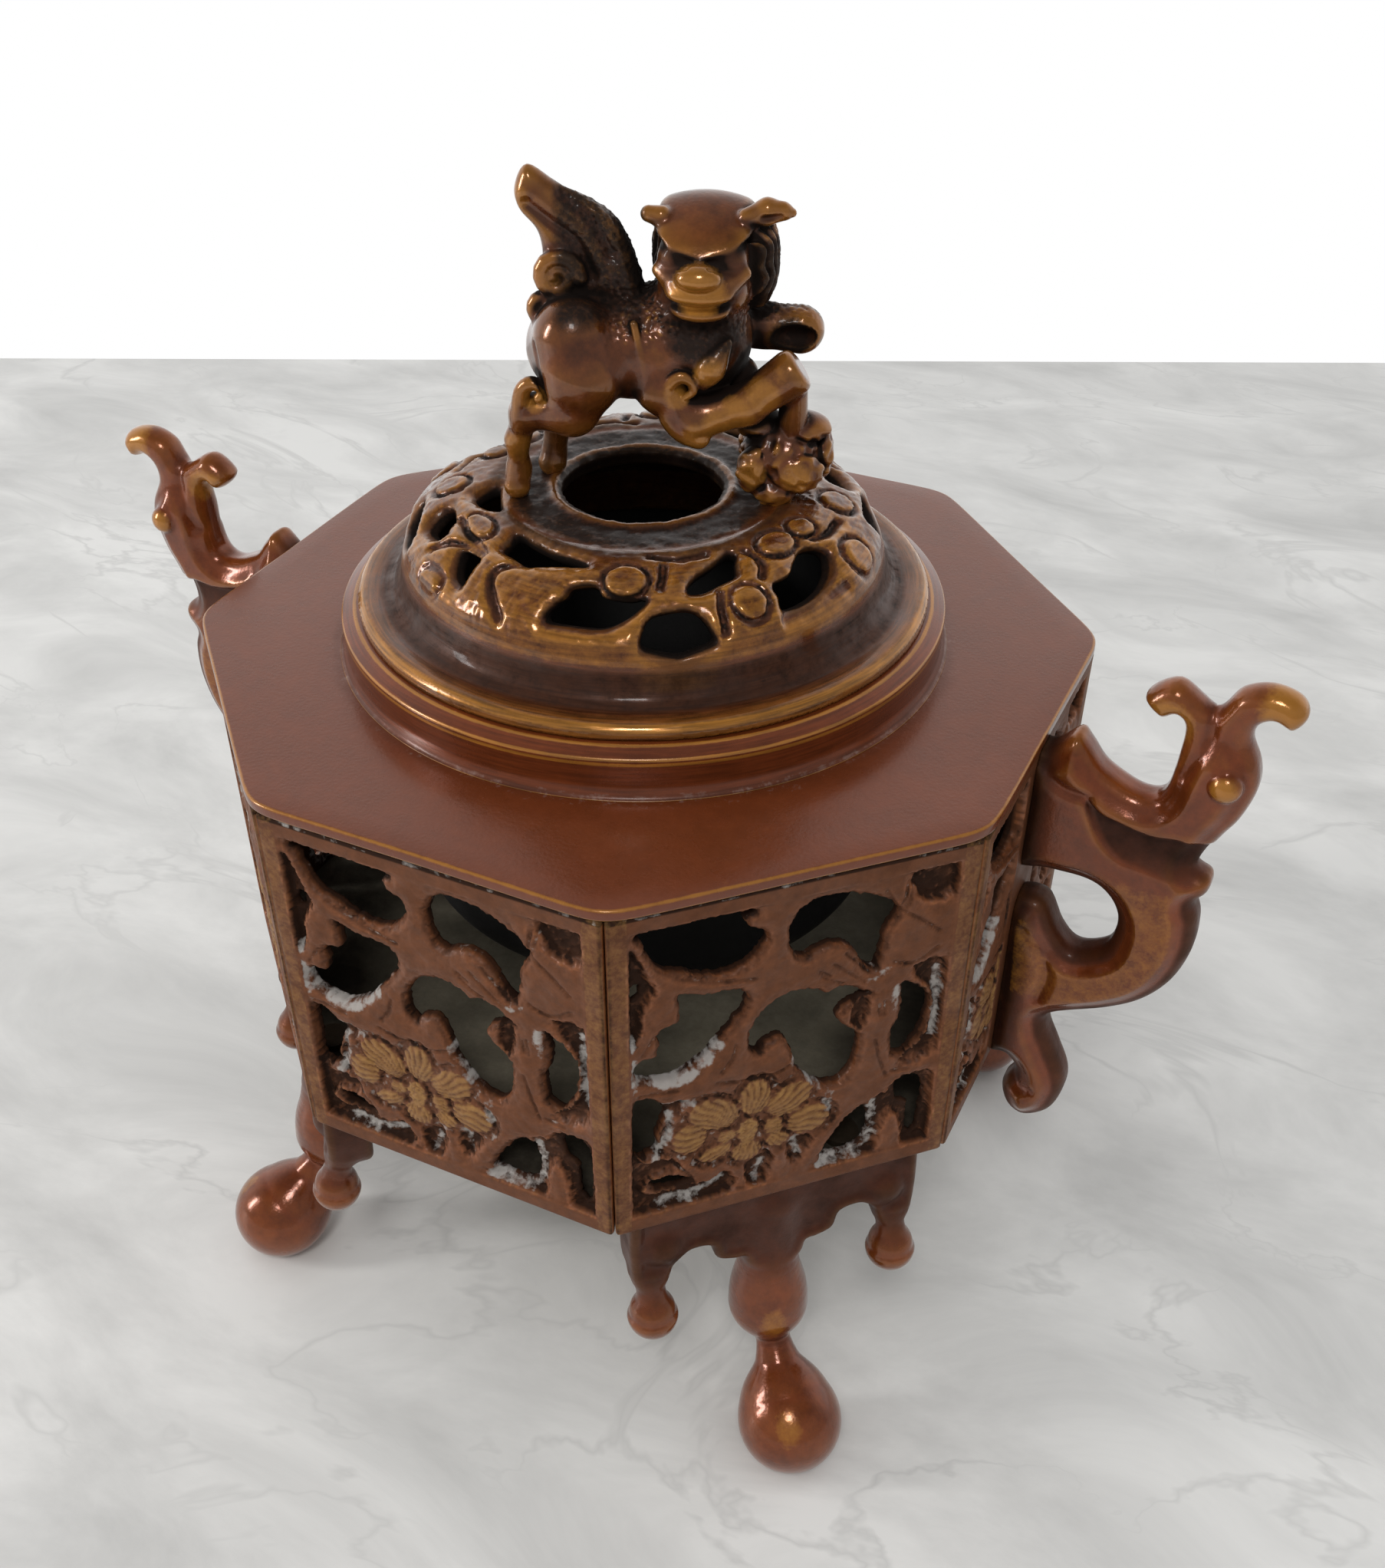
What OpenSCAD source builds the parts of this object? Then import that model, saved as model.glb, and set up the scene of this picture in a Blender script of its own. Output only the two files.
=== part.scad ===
// Bronze incense burner. An octagonal body of eight pierced panels stands on four bulb feet.
// Two dragon-scroll handles hold its sides. A fire bowl hangs in the collar of the top plate,
// and a pierced lid with a lion over its vent closes it. +Z is up, the floor is z = 0, the axis is
// the origin, and the handles lie along X.

/* [Body] */
// Distance from the axis to a corner of the top plate
plate_radius = 62; // [54:0.5:76]
// Thickness of the top plate
plate_thick = 1.6; // [1:0.1:3]
// Overhang of the top plate past the panels
plate_overhang = 0.4; // [0:0.1:2]
// Height of the pierced panels
panel_height = 53.2; // [44:0.2:66]
// How far the panels lean inwards from top to bottom
panel_lean = 1; // [0:0.1:3]
// Thickness of a panel at its frame
panel_thick = 2.4; // [1.8:0.1:4]
// Width of a panel's frame
frame_width = 2.6; // [1.6:0.1:4]
// Depth of the openwork below the frame
field_recess = 0.8; // [0.3:0.1:1.2]
// Thickness of the base plate
base_thick = 2; // [1:0.1:4]

/* [Feet] */
// Height of the body's underside above the floor
foot_height = 47.6; // [42:0.2:56]
// Radius of the drop that stands on the floor
drop_radius = 7.3; // [6:0.1:9]
// Depth of the flat worn on each drop
drop_flat = 0.4; // [0.2:0.1:1]
// How far the drop stands outwards of the bulb above it
drop_lean = 9.2; // [4:0.2:12]
// Radius of the upper bulb
bulb_radius = 5.6; // [4.5:0.1:7]
// Height of the upper bulb's centre above the floor
bulb_height = 21.9; // [19:0.1:25]
// Radius of the neck between bulb and drop
neck_radius = 2.6; // [1.8:0.1:3.5]
// Width of the bracket under the body
bracket_width = 41; // [34:0.5:44]
// Depth of the bracket's tongue below the body
bracket_drop = 15; // [11:0.5:18]
// Thickness of the bracket
bracket_thick = 6.5; // [5:0.1:8]
// How far the bracket is set in from the panel's face
bracket_inset = 1.2; // [0.5:0.1:2]
// Radius of the small drops at the bracket's ends
pendant_radius = 3.5; // [2.5:0.1:4]

/* [Handles] */
// Thickness of a handle
handle_thick = 8; // [6:0.2:11]
// Rounding of a handle's edges
handle_round = 1; // [0.4:0.1:1.4]
// Reach of a handle out from the panel
handle_reach = 30.1; // [26:0.1:38]
// Width of the plain strip on a panel that carries a handle
handle_strip = 11; // [9:0.5:14]

/* [Collar and bowl] */
// Thickness of the collar's wall round the bowl's flange
collar_wall = 4.1; // [3:0.1:6]
// Width of the seat that the lid's rim rests on
seat_width = 1.7; // [1:0.1:2.6]
// Height of the lid's seat above the top plate
seat_height = 6.6; // [5:0.1:9]
// Height of the collar's lip above the top plate
lip_height = 5.5; // [4:0.1:6]
// Outer radius of the fire bowl's wall
bowl_radius = 33.4; // [28:0.1:40]
// Depth of the fire bowl below the top plate
bowl_depth = 43; // [30:0.5:46]
// Height of the curve at the fire bowl's foot
bowl_round = 11; // [6:0.5:24]
// Thickness of the fire bowl's wall
bowl_wall = 1.6; // [1:0.1:2.4]
// Width of the fire bowl's flange
flange_width = 2.8; // [2:0.1:4]
// Thickness of the fire bowl's flange
flange_thick = 1.4; // [0.8:0.1:2]
// Free space round the bowl and round the lid's spigot
bowl_gap = 0.4; // [0.2:0.05:0.8]

/* [Lid] */
// Thickness of the lid's rim
rim_thick = 1.8; // [1:0.1:3]
// Width of the flat land on the lid's rim
rim_land = 1.6; // [1:0.1:2.4]
// Width of the hollow moulding between the rim and the dome
cove_width = 4.5; // [3:0.1:6]
// Height of the dome's springing above the rim
dome_spring = 3.8; // [2:0.1:6]
// Rise of the dome from its springing to the flat top
dome_rise = 8.6; // [6:0.1:12]
// Thickness of the lid
lid_wall = 1.8; // [1.2:0.1:2.4]
// Depth of the spigot below the seat
spigot_depth = 4; // [2:0.1:6]
// Radius of the smoke vent
vent_radius = 10.65; // [8:0.05:12]
// Width of the flat ring round the vent
vent_ring = 7; // [6:0.1:8]
// Turn of the lid and its lion on the body
lid_turn = 25.5; // [0:0.5:90]

/* [Lion] */
// Height of the lion from the lid to the tip of its tail
lion_height = 41.3; // [32:0.1:50]

/* [Fasteners] */
// Radius of a foot or handle rivet
rivet_radius = 1.4; // [1:0.1:1.8]
// Radius of a rivet's head
rivet_head = 2.4; // [2:0.1:3]
// Height of a rivet's head
rivet_head_height = 1; // [0.6:0.1:1.6]
// How far a rivet reaches into the piece it holds
rivet_reach = 4; // [3:0.1:5]
// Radius of a pin that holds the lion to the lid
pin_radius = 0.8; // [0.6:0.05:1]
// Free space round a rivet or pin, and between neighbouring panels
fit = 0.1; // [0.05:0.01:0.2]

/* [Hidden] */
$fn = 64;

sides = 8;
side_angle = 360 / sides;
half_angle = side_angle / 2;
far = 2 * plate_radius;

// Heights of the body
plate_z = foot_height + panel_height;
plate_top = plate_z + plate_thick;
seat_z = plate_top + seat_height;

// Panels: distance from the axis to the outer face at the top and at the bottom
face_top = plate_radius * cos(half_angle) - plate_overhang;
face_low = face_top - panel_lean;
panel_tilt = atan(panel_lean / panel_height);
panel_slant = panel_height / cos(panel_tilt);
field_half = face_low * tan(half_angle) - frame_width;
field_height = panel_slant - 2 * frame_width;

// The openwork is drawn on a field 42 wide and 48 high, measured from the middle of its lower edge
draft_half = 21;
draft_height = 48;
openings = [
    [[-18, 46.4], [-17.2, 42.4], [-15.4, 40.8], [-11.3, 39], [-8.1, 38.7], [-4, 41], [-3.8, 42.6],
     [-5.8, 43.7], [-6, 46.2]],
    [[0.1, 42.8], [1.7, 45.1], [4.6, 45.6], [8.2, 44.9], [11, 43.5], [13.2, 41], [11.6, 37.4],
     [10.4, 33.4], [8.2, 36.6], [5.5, 39.2], [2, 37.9], [-0.1, 40]],
    [[-13.8, 35.5], [-6.3, 34], [-5.8, 31.9], [-9.9, 26.9], [-14.3, 23.2], [-17.7, 23.4],
     [-19.3, 25], [-16.6, 26.6], [-16.4, 29.6], [-13.8, 31.2]],
    [[-0.8, 31.2], [3.2, 31.2], [5.1, 30.1], [7.3, 30.5], [10.2, 28.6], [7.4, 27.4], [6.4, 25.4],
     [9.2, 22.6], [8.9, 16.8], [7.3, 15], [3.7, 17.2], [0.5, 22], [-1.6, 25.4], [-4.7, 24.7],
     [-4.2, 28]],
    [[15.3, 28.7], [18.3, 26], [18.5, 22.6], [16.4, 17.2], [14.4, 18.2], [15.3, 23.7]],
    [[-19.9, 19], [-18.1, 19.4], [-16.1, 16.2], [-17, 10.6], [-20.4, 10.8], [-20.6, 15]],
    [[5.3, 1.2], [7.3, 4.2], [11.2, 8.5], [12, 5], [10.7, 1.2]],
    [[16.2, 10.3], [18.6, 10.8], [19.7, 6.4], [19.1, 1.6], [17.9, 5]],
    [[-17.7, 4.4], [-15.6, 4.8], [-12.7, 3.6], [-15.8, 2.6]]
];

// Outline of a handle: out from the top of the panel's face, and up from the top plate
handle_draft_reach = 30.1;
handle_draft_drop = 54.8;
handle_outline = [
    [-2, -2.4], [1, -2.2], [4, 0.6], [5.7, -0.7], [7.7, -3.2], [9.9, -4.6], [12.7, -5.7],
    [14.9, -5.4], [16, -3.4], [16.6, 1.6], [16.6, 5.2], [15.4, 6.6], [13.5, 5.8], [11.3, 8.2],
    [14.9, 10.9], [19.6, 8.5], [22.1, 11.6], [25.4, 12.9], [28.8, 12.2], [30.1, 10.2], [28.8, 8.1],
    [26.6, 8.8], [24.9, 7.7], [24.6, 5.4], [26, 2.1], [26.4, -1.2], [25.2, -5.7], [23.5, -9],
    [21.3, -14.2], [23.3, -15.9], [23.3, -17.9], [22.1, -20], [22.9, -22.9], [22.9, -27.9], [21.3, -33.4],
    [18.2, -37.9], [13.8, -41.2], [6.6, -45.1], [6, -47.9], [7.7, -51.8], [9.6, -56.2], [9.6, -59.6],
    [8.2, -63.4], [4.9, -65.6], [2.1, -64.3], [1, -60.7], [2.6, -57.4], [1, -55], [-2, -54],
    [-2, -40], [-2, -28], [2.9, -26.2], [5.7, -30.9], [8.2, -33], [11.8, -31.2], [12.9, -27.9],
    [12.7, -24.8], [11, -22.1], [8.2, -20.7], [3.2, -20.7], [-2, -20.7], [-2, -10]
];
handle_eye = [22.9, -0.2];
handle_eye_radius = 2;
handle_eye_height = 0.7;
// Heights of the two rivets of a handle, down from the top plate
handle_rivet_drops = [11, 40];

// Bracket of a foot: half of its outline, as shares of its half width and of its drop
bracket_outline = [
    [1, 0], [1, -0.5], [0.96, -0.85], [0.85, -0.98], [0.74, -0.86], [0.68, -0.62], [0.6, -0.56],
    [0.5, -0.62], [0.45, -0.78], [0.36, -0.86], [0.26, -0.84], [0.2, -1], [0, -1.06]
];
bracket_rho = face_low - bracket_inset;
bulb_step = 0.8;
bulb_rho = bracket_rho - bracket_thick / 2 + bulb_step;
drop_rho = bulb_rho + drop_lean;
drop_z = drop_radius - drop_flat;
// A pendant hangs from the bracket's side lobe: how far below the tongue, and how far outwards
pendant_place = 0.85 * bracket_width / 2;
pendant_hang = 4.5;
pendant_step = 2;
pendant_fall = bracket_drop + pendant_hang;
foot_rivet_place = bracket_width / 4;
base_face = face_low - panel_thick / cos(panel_tilt) - fit;
foot_rivet_rho = base_face - rivet_head - 2 * fit;

// Collar and fire bowl
flange_radius = bowl_radius + flange_width;
ledge_z = seat_z - flange_thick - fit;
ledge_bore = bowl_radius + bowl_gap;
recess_radius = flange_radius + bowl_gap / 2;
collar_radius = recess_radius + collar_wall;
collar_fillet = 1.2;
collar_lip = 0.4;
collar_spigot_wall = 3.6;
collar_spigot = ledge_bore + collar_spigot_wall;
bowl_bottom_z = plate_top - bowl_depth;
bowl_fullness = 0.6;

// Lid
rim_radius = recess_radius + seat_width;
cove_radius = rim_radius - rim_land;
dome_radius = cove_radius - cove_width;
rim_z = seat_z + rim_thick;
spring_z = rim_z + dome_spring;
lid_top = spring_z + dome_rise;
ring_radius = vent_radius + vent_ring;
// The turned shell starts at an angle that no opening crosses
seam_turn = -10;
spigot_radius = bowl_radius - bowl_wall - bowl_gap;
inner_radius = min(dome_radius, spigot_radius) - lid_wall;
// Openwork of the lid: angle from the lid's front, and distance from the axis in shares of the way
// from the flat ring to the spigot's inner wall
lid_openings = [
    [[-49, 0.2], [-40, 0.2], [-30, 0.24], [-20, 0.29], [-17, 0.34], [-25, 0.4], [-35, 0.53], [-47, 0.48]],
    [[-18, 0.64], [-12, 0.58], [-8, 0.68], [1, 0.7], [-3, 0.86], [-8, 0.94], [-22, 0.94], [-20, 0.79]],
    [[1, 0.89], [4, 0.8], [10, 0.78], [15, 0.82], [17.5, 0.91], [9, 0.96], [2, 0.95]],
    [[14, 0.62], [20, 0.46], [28, 0.3], [33, 0.28], [31, 0.44], [28, 0.6], [18, 0.71]],
    [[37, 0.79], [43, 0.77], [53, 0.61], [60, 0.77], [54, 0.9], [46, 0.95], [37, 0.95]],
    [[-58, 0.7], [-50, 0.67], [-47.5, 0.92], [-54, 0.88]],
    [[-82, 0.67], [-76, 0.6], [-69, 0.72], [-73, 0.85], [-80, 0.88]],
    [[-90, 0.1], [-80, 0.06], [-70, 0.12], [-77, 0.3], [-86, 0.36]]
];

// Lion: the stance is drawn for a flat ring of this radius and for this height
lion_draft_ring = 17.65;
lion_draft_height = 41.3;
lion_span = ring_radius / lion_draft_ring;
lion_rise = lion_height / lion_draft_height;
// Chains of balls, each ball as x, y, z and radius: x along the lion, -y towards its face
lion_chains = [
    [[-8.5, 0, 18.5, 6.3], [-2, 0, 19.6, 5.8], [5, 0, 20.5, 6.6], [8.5, -1, 26, 6.2]],
    [[9, -3, 31, 6.8], [8, -6, 30.3, 5.6]],
    [[3.6, -3, 35.4, 2.2], [14.4, -2.4, 35.6, 2.2]],
    [[3.8, -8.6, 33.6, 1.7], [12.6, -8.2, 33.8, 1.7]],
    [[7, -8.4, 29.4, 3.6], [6.8, -10.4, 28.8, 2.8]],
    [[7, -8, 25.6, 2.6], [8, -5, 25, 4]],
    [[2.6, -1.5, 34.5, 1.8], [0.9, -1.2, 36, 0.9]],
    [[15.8, -1, 34.8, 1.8], [17.8, -0.6, 36, 0.9]],
    [[12, 2, 30, 6.2], [13, 1, 24, 4]],
    [[4.5, -4.2, 17, 4.4], [7.6, -6, 11.6, 3], [13, -5.6, 13.2, 2.7], [19.2, -4.6, 16.6, 2.9]],
    [[8, 3.6, 19, 4], [14, 4.4, 17.6, 2.6], [20.8, 3.6, 19.6, 2.6]],
    [[-8.5, -3.2, 18.2, 6], [-7, -4.4, 13, 3.6], [-13.6, -3.4, 13.6, 2.4], [-15.5, -2.4, 6, 1.8],
     [-15.5, -2, 1, 2]],
    [[-7.5, 3.2, 17.6, 5.2], [-8, 4.6, 11, 2.8], [-12.4, 4.8, 9.6, 2.1], [-12.8, 4.6, 1, 1.9]],
    [[-2.6, 0.4, 25, 3.4], [-6, 0.4, 30.6, 4.4], [-9, 0.4, 35.6, 2.8], [-12.9, 0.4, 40.5, 0.8]],
    [[-7.5, 0, 23, 3], [-9.5, -1, 27.6, 2.6]],
    [[17.8, -1, 4.6, 5.6], [18.4, -1, 6.6, 5.2]],
    [[14.5, -0.5, 9.5, 2.2], [10.5, -1, 15.5, 2.8]],
    [[18.6, -3, 10, 2.4], [18.8, -4.2, 15, 2]]
];
lion_pins = [[-15.5, -2], [17, -1]];
lion_facets = 16;

// Smooth closed curve through points, with the given number of steps between two of them
function curve_point(a, b, c, d, t) =
    b + t * (c - a) / 2 + t * t * (a - 2.5 * b + 2 * c - d / 2) + t * t * t * (1.5 * (b - c) + (d - a) / 2);
function smooth(points, steps) = [
    for (i = [0 : len(points) - 1], j = [0 : steps - 1])
        curve_point(
            points[(i + len(points) - 1) % len(points)], points[i], points[(i + 1) % len(points)],
            points[(i + 2) % len(points)], j / steps
        )
];
function quarter(steps) = [for (i = [0 : steps]) 90 * i / steps];

// Places its children in the frame of the panel at an angle: x along it, y up it, z out of it
module on_panel(angle) {
    rotate([0, 0, angle])
        translate([face_low, 0, foot_height])
            rotate([0, panel_tilt, 0])
                rotate([90, 0, 90])
                    children();
}

// Radial wedge that one panel fills between the base and the top plate
module panel_wedge() {
    slope = tan(half_angle);
    gap = fit / 2 / cos(half_angle);
    translate([0, 0, foot_height])
        linear_extrude(panel_height)
            polygon([[gap / slope, 0], [far, far * slope - gap], [far, gap - far * slope]]);
}

module field_outline() {
    polygon([
        [-field_half, frame_width], [field_half, frame_width],
        [field_half, frame_width + field_height], [-field_half, frame_width + field_height]
    ]);
}

module openwork_outline() {
    translate([0, frame_width])
        for (opening = openings)
            polygon([
                for (p = smooth(opening, 3))
                    [p.x * field_half / draft_half, p.y * field_height / draft_height]
            ]);
}

// One pierced panel; a panel that carries a handle keeps a plain strip up its middle
module panel(angle, has_strip) {
    strip = has_strip ? handle_strip : 0;
    difference() {
        intersection() {
            rotate([0, 0, angle])
                panel_wedge();
            on_panel(angle)
                difference() {
                    translate([-far / 2, -frame_width, -panel_thick])
                        cube([far, panel_slant + 2 * frame_width, panel_thick]);
                    translate([0, 0, -field_recess])
                        linear_extrude(panel_thick)
                            difference() {
                                field_outline();
                                if (has_strip)
                                    strip_outline(strip);
                            }
                    translate([0, 0, -2 * panel_thick])
                        linear_extrude(3 * panel_thick)
                            difference() {
                                openwork_outline();
                                if (has_strip)
                                    strip_outline(strip);
                            }
                }
        }
        if (has_strip)
            handle_rivet_places(angle)
                cylinder(r = rivet_radius + fit, h = 4 * panel_thick, center = true);
    }
}

module strip_outline(strip) {
    translate([-strip / 2, 0])
        square([strip, panel_slant]);
}

module handle_rivet_places(angle) {
    for (drop = handle_rivet_drops)
        on_panel(angle)
            translate([0, panel_slant * (1 - (drop - plate_thick) / (handle_draft_drop - plate_thick)), 0])
                children();
}

module octagon(radius, height) {
    rotate([0, 0, half_angle])
        cylinder(r = radius, h = height, $fn = sides);
}

module top_plate() {
    color("#6b3a22")
        translate([0, 0, plate_z])
            difference() {
                octagon(plate_radius, plate_thick);
                cylinder(r = collar_spigot + fit, h = 3 * plate_thick, center = true);
            }
}

module collar_ring() {
    wall = collar_radius - collar_lip;
    fillet = [
        for (a = quarter(4))
            [wall + collar_fillet * (1 - sin(a)), plate_top + collar_fillet * (1 - cos(a))]
    ];
    color("#74441f")
        rotate_extrude()
            polygon(concat(
                [[ledge_bore, plate_z], [collar_spigot, plate_z], [collar_spigot, plate_top]],
                fillet,
                [[collar_radius, plate_top + lip_height - collar_lip],
                 [collar_radius, plate_top + lip_height], [rim_radius, seat_z],
                 [recess_radius, seat_z], [recess_radius, ledge_z], [ledge_bore, ledge_z]]
            ));
}

module base_plate() {
    color("#5a3524")
        translate([0, 0, foot_height])
            difference() {
                octagon(base_face / cos(half_angle), base_thick);
                translate([0, 0, -foot_height])
                    all_foot_rivet_places()
                        cylinder(r = rivet_radius + fit, h = 4 * base_thick, center = true);
            }
}

module foot_rivet_places(angle) {
    for (side = [-1, 1])
        rotate([0, 0, angle])
            translate([foot_rivet_rho, side * foot_rivet_place, foot_height])
                children();
}

module all_foot_rivet_places() {
    for (angle = [side_angle : 2 * side_angle : 360])
        foot_rivet_places(angle)
            children();
}

// Round bar or cone between two points of the foot's radial plane
module bar(from, to, from_radius, to_radius) {
    run = to - from;
    translate([from.x, 0, from.y])
        rotate([0, atan2(run.x, run.y), 0])
            cylinder(r1 = from_radius, r2 = to_radius, h = norm(run));
}

module foot_leg() {
    bulb = [bulb_rho, bulb_height];
    drop = [drop_rho, drop_z];
    along = (bulb - drop) / norm(bulb - drop);
    translate([bulb.x, 0, bulb.y])
        sphere(bulb_radius);
    translate([drop.x, 0, drop.y])
        sphere(drop_radius);
    bar(drop, bulb, neck_radius, neck_radius);
    // The drop's shoulder leaves its ball as a cone, and the leg leaves the bulb as another, each from
    // a little inside the ball
    shoulder = drop + 0.45 * drop_radius * along;
    bar(shoulder, drop + 1.5 * drop_radius * along, 0.88 * drop_radius, neck_radius);
    leg_root = [bracket_rho - bracket_thick / 2, foot_height - bracket_drop / 2];
    bar(bulb, leg_root, 0.95 * bulb_radius, 0.82 * bulb_radius);
}

module foot_bracket() {
    half = [for (p = bracket_outline) [p.x * bracket_width / 2, p.y * bracket_drop]];
    last = len(half) - 1;
    lower = concat(half, [for (i = [1 : last]) [-half[last - i].x, half[last - i].y]]);
    translate([bracket_rho - bracket_thick, 0, foot_height])
        rotate([90, 0, 90])
            linear_extrude(bracket_thick)
                polygon(lower);
}

module foot_pendants() {
    root = [bracket_rho - bracket_thick / 2, foot_height - 0.8 * bracket_drop];
    tip = [bracket_rho - bracket_thick / 2 + pendant_step, foot_height - pendant_fall];
    for (side = [-1, 1])
        translate([0, side * pendant_place, 0]) {
            translate([tip.x, 0, tip.y])
                sphere(pendant_radius);
            translate([root.x, 0, root.y])
                sphere(0.8 * pendant_radius);
            bar(root, tip, 0.5 * pendant_radius, 0.5 * pendant_radius);
        }
}

module foot(angle) {
    color("#6a3220")
        difference() {
            rotate([0, 0, angle])
                union() {
                    foot_bracket();
                    foot_leg();
                    foot_pendants();
                }
            translate([-far, -far, -far])
                cube([2 * far, 2 * far, far]);
            foot_rivet_places(angle)
                cylinder(r = rivet_radius + fit, h = 2 * rivet_reach + 2 * fit, center = true);
        }
}

module foot_rivets() {
    color("#8a6a3a")
        all_foot_rivet_places() {
            translate([0, 0, -rivet_reach])
                cylinder(r = rivet_radius, h = rivet_reach + base_thick);
            translate([0, 0, base_thick])
                cylinder(r = rivet_head, h = rivet_head_height);
        }
}

module handle_profile(inset) {
    offset(delta = -inset)
        polygon([
            for (p = smooth(handle_outline, 3))
                [p.x * handle_reach / handle_draft_reach,
                 p.y * (panel_height + plate_thick) / handle_draft_drop]
        ]);
}

module handle(angle) {
    eye_length = handle_thick + 2 * handle_eye_height;
    color("#6a3220")
        difference() {
            rotate([0, 0, angle])
                union() {
                    translate([face_top, 0, plate_top])
                        rotate([90, 0, 0]) {
                            linear_extrude(handle_thick - 2 * handle_round, center = true)
                                handle_profile(0);
                            linear_extrude(handle_thick, center = true)
                                handle_profile(handle_round);
                            translate(handle_eye)
                                cylinder(r = handle_eye_radius, h = eye_length, center = true);
                        }
                }
            on_panel(angle)
                translate([-far / 2, -far / 2, -far])
                    cube([far, 2 * far, far]);
            translate([0, 0, plate_z - fit])
                octagon(plate_radius + fit / cos(half_angle), plate_thick + 2 * fit);
            handle_rivet_places(angle)
                cylinder(r = rivet_radius + fit, h = 2 * rivet_reach + 2 * fit, center = true);
        }
}

module handle_rivets() {
    color("#8a6a3a")
        for (angle = [0, 180])
            handle_rivet_places(angle) {
                translate([0, 0, -panel_thick])
                    cylinder(r = rivet_radius, h = panel_thick + rivet_reach);
                translate([0, 0, -panel_thick - rivet_head_height])
                    cylinder(r = rivet_head, h = rivet_head_height);
            }
}

// Half section of the bowl's wall, set in by a distance
function bowl_section(inset) = [
    for (a = quarter(12))
        [(bowl_radius - inset) * pow(cos(a), bowl_fullness),
         bowl_bottom_z + bowl_round - (bowl_round - inset) * sin(a)]
];

module fire_bowl() {
    outer = bowl_section(0);
    inner = bowl_section(bowl_wall);
    last = len(inner) - 1;
    top_z = ledge_z + flange_thick;
    color("#33302e")
        rotate_extrude()
            polygon(concat(
                [[bowl_radius - bowl_wall, top_z], [flange_radius, top_z], [flange_radius, ledge_z],
                 [bowl_radius, ledge_z]],
                outer,
                [for (i = [0 : last]) inner[last - i]]
            ));
}

module lid_shell() {
    dome = [
        for (a = quarter(8))
            [ring_radius + (dome_radius - ring_radius) * sin(a), spring_z + dome_rise * cos(a)]
    ];
    cove = [
        for (a = quarter(5))
            if (a > 0)
                [cove_radius - (cove_radius - dome_radius) * cos(a), spring_z - dome_spring * sin(a)]
    ];
    inner = [
        for (a = quarter(8))
            [inner_radius - (inner_radius - ring_radius) * (1 - cos(a)),
             spring_z - lid_wall / 2 + (dome_rise - lid_wall / 2) * sin(a)]
    ];
    rotate_extrude()
        polygon(concat(
            [[vent_radius, lid_top]], dome, cove,
            [[rim_radius, rim_z], [rim_radius, seat_z], [spigot_radius, seat_z],
             [spigot_radius, seat_z - spigot_depth], [inner_radius, seat_z - spigot_depth]],
            inner,
            [[vent_radius, lid_top - lid_wall]]
        ));
}

module lid_opening_cut() {
    reach = inner_radius - ring_radius;
    for (half_turn = [0, 180], opening = lid_openings)
        rotate([0, 0, half_turn])
            translate([0, 0, rim_z])
                linear_extrude(dome_spring + 2 * dome_rise)
                    polygon(smooth([
                        for (p = opening)
                            (ring_radius + p.y * reach) * [sin(p.x), -cos(p.x)]
                    ], 3));
}

module lid() {
    color("#8a5a1e")
        rotate([0, 0, lid_turn])
            difference() {
                rotate([0, 0, seam_turn])
                    lid_shell();
                lid_opening_cut();
                lion_pin_places()
                    cylinder(r = pin_radius + fit, h = 4 * lid_wall, center = true);
            }
}

module lion_pin_places() {
    for (place = lion_pins)
        translate([place.x * lion_span, place.y * lion_span, lid_top])
            children();
}

module lion_finial() {
    color("#8a5520")
        rotate([0, 0, lid_turn])
            difference() {
                translate([0, 0, lid_top])
                    scale([lion_span, lion_span, lion_rise])
                        for (chain = lion_chains, i = [0 : len(chain) - 2])
                            hull()
                                for (ball = [chain[i], chain[i + 1]])
                                    translate([ball[0], ball[1], ball[2]])
                                        sphere(ball[3], $fn = lion_facets);
                translate([-far, -far, lid_top - far])
                    cube([2 * far, 2 * far, far]);
                lion_pin_places()
                    cylinder(r = pin_radius + fit, h = 2 * rivet_reach + 2 * fit, center = true, $fn = 24);
            }
}

module lion_pins() {
    color("#8a6a3a")
        rotate([0, 0, lid_turn])
            lion_pin_places()
                translate([0, 0, -lid_wall])
                    cylinder(r = pin_radius, h = lid_wall + rivet_reach);
}

module pierced_panel(angle) {
    color("#7a4a35")
        panel(angle, angle % 180 == 0);
}

top_plate();
collar_ring();
pierced_panel(0);  // panel_right
pierced_panel(45);  // panel_back_right
pierced_panel(90);  // panel_back
pierced_panel(135);  // panel_back_left
pierced_panel(180);  // panel_left
pierced_panel(225);  // panel_front_left
pierced_panel(270);  // panel_front
pierced_panel(315);  // panel_front_right
base_plate();
foot(315);  // foot_front_right
foot(45);  // foot_back_right
foot(135);  // foot_back_left
foot(225);  // foot_front_left
handle(0);  // handle_right
handle(180);  // handle_left
handle_rivets();
foot_rivets();
fire_bowl();
lid();
lion_finial();
lion_pins();
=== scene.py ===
"""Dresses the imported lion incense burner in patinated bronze.

Turned and flat pieces are grids of two parameters. Pierced, carved and cast pieces are the zero
surface of a distance worked out in numpy. Lengths in the shape functions are millimetres.
"""

import math

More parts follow.
